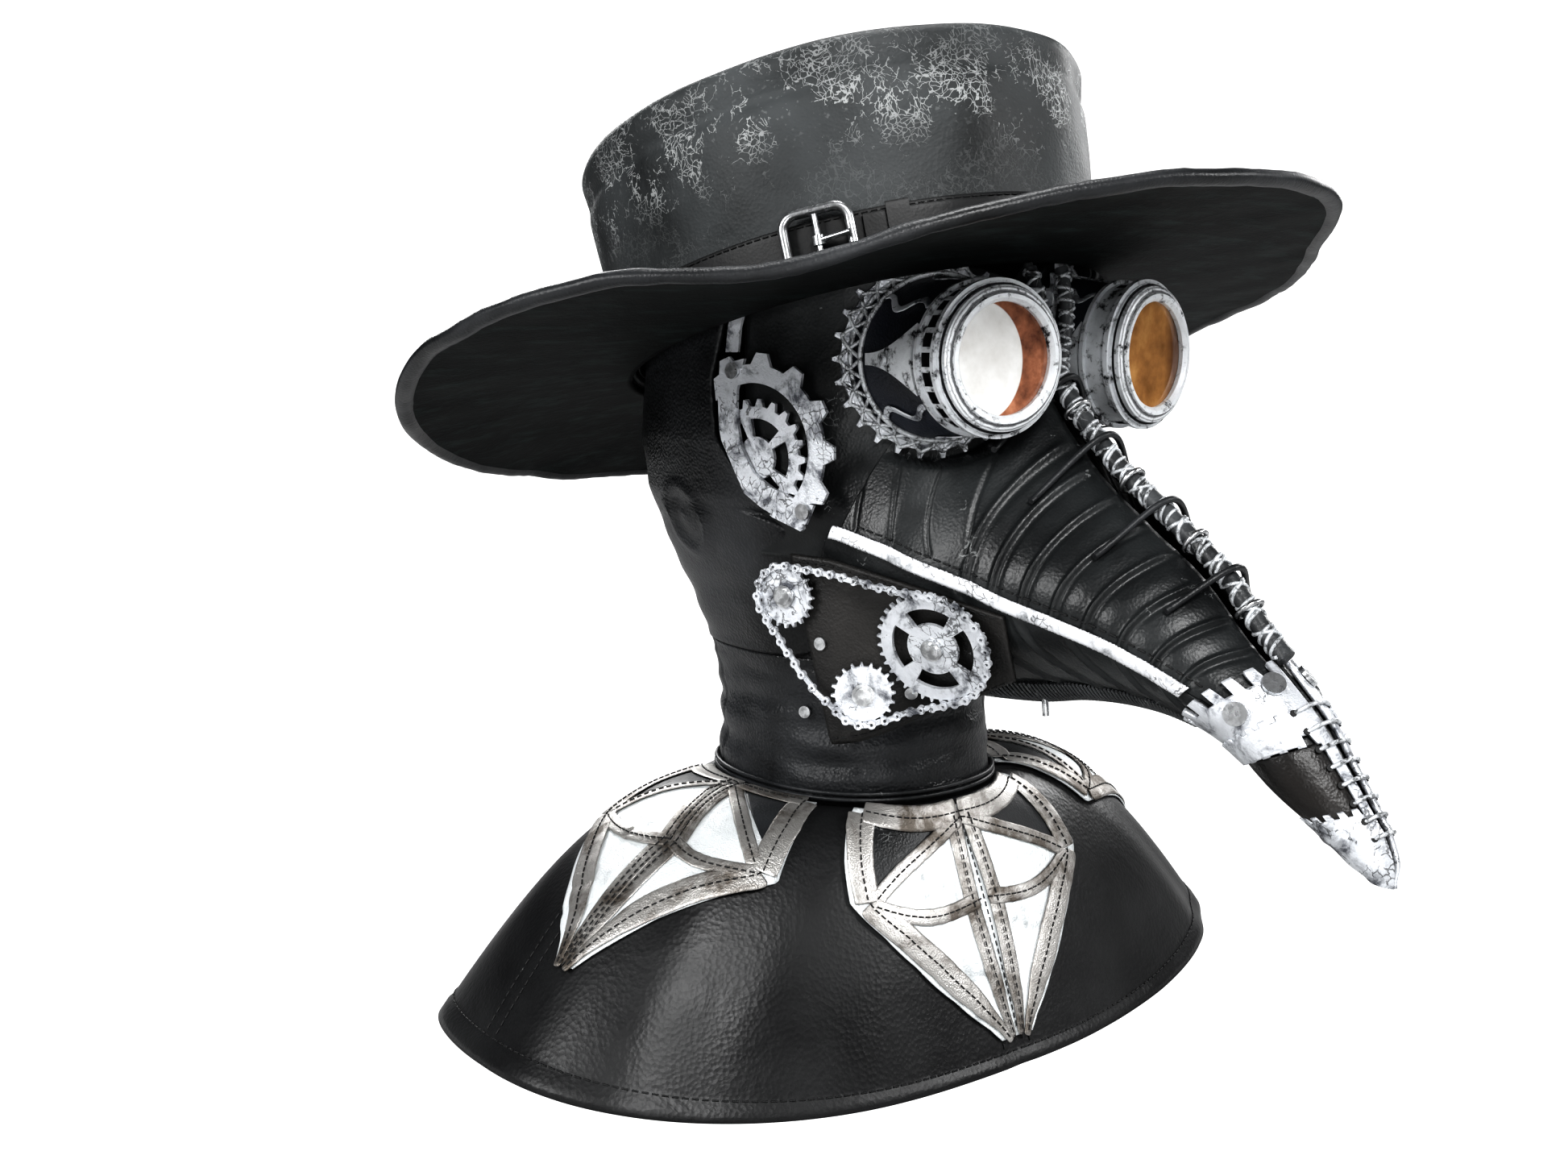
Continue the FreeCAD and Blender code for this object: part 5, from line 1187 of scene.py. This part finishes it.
def hoodOn(u, v):
    z = hoodShape["low"] + hoodShape["tall"] * v
    first = steer(hoodStarts, z)
    angle = first + (math.pi - 0.004 - first) * u
    point = hoodAt(angle, z, 0.0)
    fade = ease(u / 0.04) * ease((z + 111.0) / 8.0) * (1.0 - ease((z + 12.0) / 10.0))
    tuck = 8.0 * ease((0.15 - u) / 0.09) * ease((z + 112.0) / 8.0) * (1.0 - ease((z + 50.0) / 8.0))
    return hoodAt(angle, z, (hoodFolds(point) - 0.3) * fade - tuck)


hood = hide("hoodLeather", 110, 120, hoodOn, lambda c: Vector((0, 0.003, c.z)), hoodShape["wall"],
            mirror=True, weld=0.8)
settle(hood, hoodLeather, "hood", ["hood_right", "hood_left"])

neckShape = {"low": -174.0, "tall": 62.4, "wall": 2.0, "fold": 2.6, "seams": (0.72, 2.1)}


def neckOn(u, v):
    angle = 2 * math.pi * u
    z = neckShape["low"] + neckShape["tall"] * v
    turn = angle if angle <= math.pi else 2 * math.pi - angle
    point = hoodAt(turn, z, 0.0)
    if angle > math.pi:
        point.x = -point.x
    squash = Vector((point.x / 34.0, point.y / 34.0, point.z / 10.0 + 7.0))
    lift = noise.noise(squash) * neckShape["fold"] * ease(v / 0.15) * ease((1.0 - v) / 0.12) - 0.5
    for seam in neckShape["seams"]:
        lift -= 0.8 * lump((turn - seam) * 58.0, 0.0, 1.0)
    away = Vector((point.x, point.y - 2.0, 0)).normalized()
    return point + away * lift


neck = hide("neckLeather", 200, 60, neckOn, lambda c: Vector((0, 0.002, c.z)), neckShape["wall"],
            loop=True)
settle(neck, hoodLeather, "hood", ["neck"])
print("hood made")

# ---- mantle
mantleShape = {"columns": 260, "rows": 70, "wall": 2.0, "fold": 2.2, "hem": 1.0}
seamTurns = [0.0, math.radians(92.0), math.pi, 2 * math.pi - math.radians(92.0)]


def mantleLift(angle, share):
    point = mantleSide(angle, share, 0.0)
    lift = wobble(Vector((math.sin(angle) * 3, math.cos(angle) * 3, share)) * 20.0, 14.0,
                  mantleShape["fold"] * share)
    for seam in seamTurns + [2 * math.pi]:
        away = (angle - seam) * (60.0 + 110.0 * share)
        lift -= 1.1 * lump(away, 0.0, 1.1)
    lift += mantleShape["hem"] * ease((share - 0.958) / 0.008)
    return lift


def mantleOn(u, v):
    angle = 2 * math.pi * u
    share = min(v, 0.999)
    return mantleSide(angle, share, mantleLift(angle, share))


mantle = hide("mantle", mantleShape["columns"], mantleShape["rows"], mantleOn,
              lambda c: c - Vector((0, 0, 1)), 0.0,
              loop=True)
thick = mantle.modifiers.new("wall", "SOLIDIFY")
thick.thickness = mantleShape["wall"] * mm
thick.offset = -1.0
applyAll(mantle)
settle(mantle, mantleLeather, "hood", ["mantle_front_right", "mantle_front_left", "mantle_back_right",
                                       "mantle_back_left"])
mantleStitch = []
hemLine = [mantleSide(2 * math.pi * k / 400, 0.952, mantleLift(2 * math.pi * k / 400, 0.952) + 0.15)
           for k in range(401)]
mantleStitch += stitchRun(hemLine, 2.8, 1.4)
for seam in seamTurns:
    for side in (-1, 1):
        line = []
        for share in steps(0.03, 0.95, 60):
            angle = (seam + side * 3.2 / (60.0 + 110.0 * share)) % (2 * math.pi)
            line.append(mantleSide(angle, share, mantleLift(angle, share) + 0.15))
        mantleStitch += stitchRun(line, 2.6, 1.4)
settle(strands("mantleStitches", mantleStitch, 0.38, 1), threadBlack)
neckSeam = []
for stand in (0.0, 2.6):
    neckSeam.append([hoodAt(a if a <= math.pi else 2 * math.pi - a, neckShape["low"] + 1.0 + stand, 1.0)
                     for a in steps(0, 2 * math.pi, 90)])
    neckSeam[-1] = [Vector((-p.x if k > 44 else p.x, p.y, p.z)) for k, p in enumerate(neckSeam[-1])][:-1]
settle(strands("neckPiping", neckSeam, 1.1, 2, closed=True), blackLeather)

# ---- kites sewn on the mantle
kiteForms = [
    {"middle": 0.0, "long": 1.0, "corner": 0.43, "lean": [(0, 0), (1, 0)],
     "half": [(0, 0.745), (0.12, 0.70), (0.28, 0.62), (0.43, 0.53), (0.53, 0.37), (0.64, 0.24),
              (0.78, 0.12),
              (0.90, 0.045), (1, 0.004)]},
    {"middle": 1.44, "long": 0.86, "corner": 0.50, "lean": [(0, 0.20), (0.5, -0.03), (1, 0.05)],
     "half": [(0, 0.62), (0.25, 0.61), (0.50, 0.56), (0.62, 0.39), (0.75, 0.23), (0.9, 0.085),
              (1, 0.004)]},
]
kiteForms.append(dict(kiteForms[1], side=-1))


def kiteOn(form):
    def on(x, y, out):  # x -1..1 across, y 0..1 down the kite
        share = 0.035 + (0.955 * form["long"] - 0.035) * y
        turn = form["middle"] + steer(form["lean"], y) + steer(form["half"], y) * x
        turn *= form.get("side", 1)
        if turn > math.pi:
            turn -= 2 * math.pi
        return mantleSide(turn, share, out + mantleLift(turn % (2 * math.pi), share) * 0.8)
    return on


kiteCuts = {"frame": 13.0, "rib": 9.0, "cross": 7.5}
kitePanels, kiteStraps, kiteDark, kiteThread = [], [], [], []


def kiteBend(a, b, bow, count=9):  # curved run between two spots of a kite
    out = []
    for f in steps(0, 1, count):
        out.append((a[0] + (b[0] - a[0]) * f, a[1] + (b[1] - a[1]) * f + bow * math.sin(math.pi * f)))
    return out


for number, form in enumerate(kiteForms):
    on = kiteOn(form)
    kitePanels.append(hide("kiteBack%d" % number, 44, 60, lambda u, v: on(2 * u - 1, 0.95 * v, 1.6),
                           lambda c: c - Vector((0, 0, 1)), 0.7))
    corner = form["corner"]
    top, centre = (0.0, 0.06), (0.0, corner)
    outline = []
    for side in (-1, 1):
        outline += [kiteBend((side * 0.90, 0.045), (side * 0.86, corner), 0.0),
                    kiteBend((0, 0.035), (side * 0.92, 0.03), 0.012),
                    kiteBend((side * 0.85, corner - 0.01), (side * 0.5, 0.975), 0.0, 14)]
    inner = []
    for side in (-1, 1):
        inner += [kiteBend(top, (side * 0.80, corner - 0.02), -0.02),
                  kiteBend((side * 0.8, corner), centre, 0.035)]
    ribs = [[(side * 0.055, 0.05), (side * 0.062, corner), (side * 0.10, 0.75), (side * 0.2, 0.975)]
            for side in (-1, 1)]
    kiteStraps.append(strips("kiteRibs%d" % number, ribs, kiteCuts["rib"], 0.7, lambda u, v,
                             h: on(u, v, h + 1.7),
                             slim=lambda v: 1.0 - 0.6 * ease((v - 0.70) / 0.28)))
    kiteStraps.append(strips("kiteCross%d" % number, inner, kiteCuts["cross"], 0.8, lambda u, v,
                             h: on(u, v, h + 2.1)))
    kiteStraps.append(strips("kiteFrame%d" % number, outline, kiteCuts["frame"], 1.0, lambda u, v,
                             h: on(u, v, h + 1.9),
                             slim=lambda v: 1.0 - 0.72 * ease((v - 0.70) / 0.28)))
    for side in (-1, 1):
        kiteDark.append(hide("kiteDark%d%s" % (number, "ab"[side > 0]), 12, 12,
                             lambda u, v: on(side * (0.16 + 0.66 * u + (0.66 - 0.66 * u) * v),
                                             0.07 + 0.32 * v, 1.9),
                             lambda c: c - Vector((0, 0, 1)), 0.1))
    for run in outline + inner + ribs + [[(0, 0.06), (0, 0.96)]]:
        flat = spaced([Vector((a, b, 0)) for a, b in run], 0.02)
        kiteThread += stitchRun([on(p.x, p.y, 3.15) for p in flat], 2.4, 1.3)
for piece in kitePanels:
    settle(piece, kiteWindow)
for piece in kiteStraps:
    settle(piece, kiteFrame)
for piece in kiteDark:
    settle(piece, blackLeather)
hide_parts("mantle_applique_front")
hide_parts("mantle_appliques_side")
settle(strands("kiteStitches", kiteThread, 0.33, 1), threadBlack)
print("kites made")

# ---- ridge and brow cords
cordShape = {"radius": 3.7, "brow": 2.8}


def wraps(path, radius, pitch, hand, jitter=0.25, start=0.0):  # thread wound round a run of points
    marks = spaced(path, pitch / 8.0)
    out = []
    for k, point in enumerate(marks[:-1]):
        run = (marks[k + 1] - point).normalized()
        side = run.cross(Vector((1, 0.2, 0))).normalized()
        up = run.cross(side)
        turn = hand * (2 * math.pi * k / 8.0) + start + noise.noise(point / 6.0) * jitter * 3
        out.append(point + (side * math.cos(turn) + up * math.sin(turn))
                   * (radius + noise.noise(point / 3.0) * jitter))
    return out


ridgePath = [ridgeAt(t, 4.6) for t in steps(1.9, 6.38, 40)]
browRows = [(1.95, 2.0), (1.75, 4.0), (1.4, 6.5), (1.1, 7.5), (0.8, 8.5), (0.6, 9.0)]
browPath = [ridgeAt(t, 5.1) + Vector((-x, 0, 0)) for t, x in browRows]
cords = strands("ridgeCord", [ridgePath], cordShape["radius"], 4)
settle(cords, wornEdge, "hood", ["ridge_cord"])
settle(strands("browCords", [browPath], cordShape["brow"], 4, mirror=True), wornEdge)
ridgeWire = [wraps(ridgePath, cordShape["radius"] + 0.4, 11.0, 1),
             wraps(ridgePath, cordShape["radius"] + 0.4, 11.0, -1, start=1.0),
             wraps(ridgePath, cordShape["radius"] + 0.3, 6.5, 1, 0.4, 2.0)]
settle(strands("ridgeWraps", ridgeWire, 0.75, 2), silverCord)
browWire = [wraps(browPath, cordShape["brow"] + 0.35, 5.0, 1),
            wraps(browPath, cordShape["brow"] + 0.3, 7.0, -1)]
settle(strands("browWraps", browWire, 0.7, 2, mirror=True), silverCord)

# ---- goggles
eyeTrim = {"teeth": 26, "lace": 0.8}
lace = []
for k in range(eyeTrim["teeth"]):
    a = 2 * math.pi * k / eyeTrim["teeth"]
    step = 2 * math.pi / eyeTrim["teeth"]
    lace.append([seatAt(38.0, a, 2.7), seatAt(36.6, a + step * 0.3, 3.6),
                 cupAt(a + step * 0.7, 0.10, 1.0),
                 cupAt(a + step, 0.17, 0.2)])
    lace.append([seatAt(38.0, a + step, 2.7), seatAt(36.6, a + step * 0.7, 3.9),
                 cupAt(a + step * 0.3, 0.10, 1.3),
                 cupAt(a, 0.17, 0.2)])
settle(strands("cupLacing", lace, eyeTrim["lace"], 2, mirror=True), silverCord)
rope = []
for share, wide in ((0.19, 0.9), (0.05, 1.4)):
    ring = [cupAt(2 * math.pi * k / 48, share, wide) for k in range(48)]
    rope.append(ring)
settle(strands("cupRopes", rope, 1.1, 2, closed=True, mirror=True), silverCord)
cupRuns = []
for turn in (0.75, 1.45, 2.25, -0.75, -1.5, -2.3):
    cupRuns.append([(turn + 0.10 * math.sin(9.0 * f + turn), 0.2 + 0.78 * f) for f in steps(0, 1, 12)])
settle(strips("cupStraps", cupRuns, 3.2, 0.9, lambda u, v, h: cupAt(u, v, h + 0.3), mirror=True),
       silverLeather)
print("goggles trimmed")

# ---- underside of the jaw
whip = []
for k in range(70):
    t = 1.25 + 5.05 * k / 69.0
    low = underAt(t, 2.6)
    near, far = beakAt(t + 0.02, 0.93, 0.8), low + Vector((0, 0, -2.1))
    whip.append([near, Vector((near.x * 0.5, low.y - 0.5, low.z - 0.6)), far,
                 Vector((-near.x * 0.5, low.y + 0.5, low.z - 0.6)),
                 Vector((-near.x, near.y, near.z))])
settle(strands("jawWhipping", whip, 0.6, 1), wornEdge)

# ---- floor, light and camera
stageShape = {"floorZ": -0.292, "near": (-0.521906, -0.599536, 0.031418), "lens": 39.654}
alone()
bpy.ops.mesh.primitive_plane_add(size=14.0, location=(1.2, 1.6, stageShape["floorZ"]))
floor = bpy.context.active_object
floor.name = "floor"
floorPaint = bpy.data.materials.new("floorPaint")
floorPaint.use_nodes = True
floorShader = floorPaint.node_tree.nodes["Principled BSDF"]
floorShader.inputs["Base Color"].default_value = (0.45, 0.45, 0.45, 1)
floorShader.inputs["Roughness"].default_value = 0.9
floorTree = floorPaint.node_tree
glow = put(floorTree, "ShaderNodeEmission", Color=(1, 1, 1, 1))
seenBy = maths(floorTree, "MULTIPLY", put(floorTree, "ShaderNodeLightPath").outputs["Is Camera Ray"],
               0.97)
floorMix = put(floorTree, "ShaderNodeMixShader", ("Fac", seenBy))
floorTree.links.new(floorShader.outputs[0], floorMix.inputs[1])
floorTree.links.new(glow.outputs[0], floorMix.inputs[2])
floorTree.links.new(floorMix.outputs[0], floorTree.nodes["Material Output"].inputs["Surface"])
floor.data.materials.append(floorPaint)

world = bpy.data.worlds.new("paleStudio")
bpy.context.scene.world = world
world.use_nodes = True
tree = world.node_tree
sky = tree.nodes["Background"]
sky.inputs["Color"].default_value = (0.05, 0.052, 0.055, 1)
seen = put(tree, "ShaderNodeBackground", Color=(1.0, 1.0, 1.0, 1))
pick = put(tree, "ShaderNodeLightPath")
mix = put(tree, "ShaderNodeMixShader", ("Fac", pick.outputs["Is Camera Ray"]))
tree.links.new(sky.outputs[0], mix.inputs[1])
tree.links.new(seen.outputs[0], mix.inputs[2])
tree.links.new(mix.outputs[0], tree.nodes["World Output"].inputs["Surface"])

lamps = {
    "keyBox": ((-0.75, -1.35, 1.05), 0.55, 26.0),
    "sideBox": ((-1.5, 0.1, 0.5), 0.5, 13.0),
    "noseBox": ((1.1, -1.5, 0.7), 0.5, 14.0),
    "topBox": ((0.2, 0.3, 1.6), 0.7, 16.0),
    "backBox": ((0.5, 1.6, 0.7), 0.7, 14.0),
    "leftBox": ((1.7, 0.2, 0.5), 0.6, 10.0),
    "lowBox": ((-1.0, -1.2, -0.15), 0.5, 5.0),
}
for name, (spot, size, power) in lamps.items():
    light = bpy.data.lights.new(name, "AREA")
    light.shape = "SQUARE"
    light.size = size
    light.energy = power
    lamp = bpy.data.objects.new(name, light)
    lamp.location = spot
    aim = Vector((0, -0.06, -0.05)) - Vector(spot)
    lamp.rotation_euler = aim.to_track_quat("-Z", "Y").to_euler()
    bpy.context.scene.collection.objects.link(lamp)

eye = bpy.data.cameras.new("camera")
eye.lens = stageShape["lens"]
eye.sensor_width = 36.0
eye.clip_start = 0.02
camera = bpy.data.objects.new("camera", eye)
right = Vector((0.78133, -0.62402, -0.01086))
up = Vector((0.10142, 0.10979, 0.98877))
back = right.cross(up)
turn = Matrix((right, up, back)).transposed().to_4x4()
camera.matrix_world = Matrix.Translation(Vector(stageShape["near"])) @ turn
bpy.context.scene.collection.objects.link(camera)
bpy.context.scene.camera = camera
bpy.context.scene.view_settings.view_transform = "Standard"
bpy.context.scene.view_settings.look = "High Contrast"
print("stage lit")
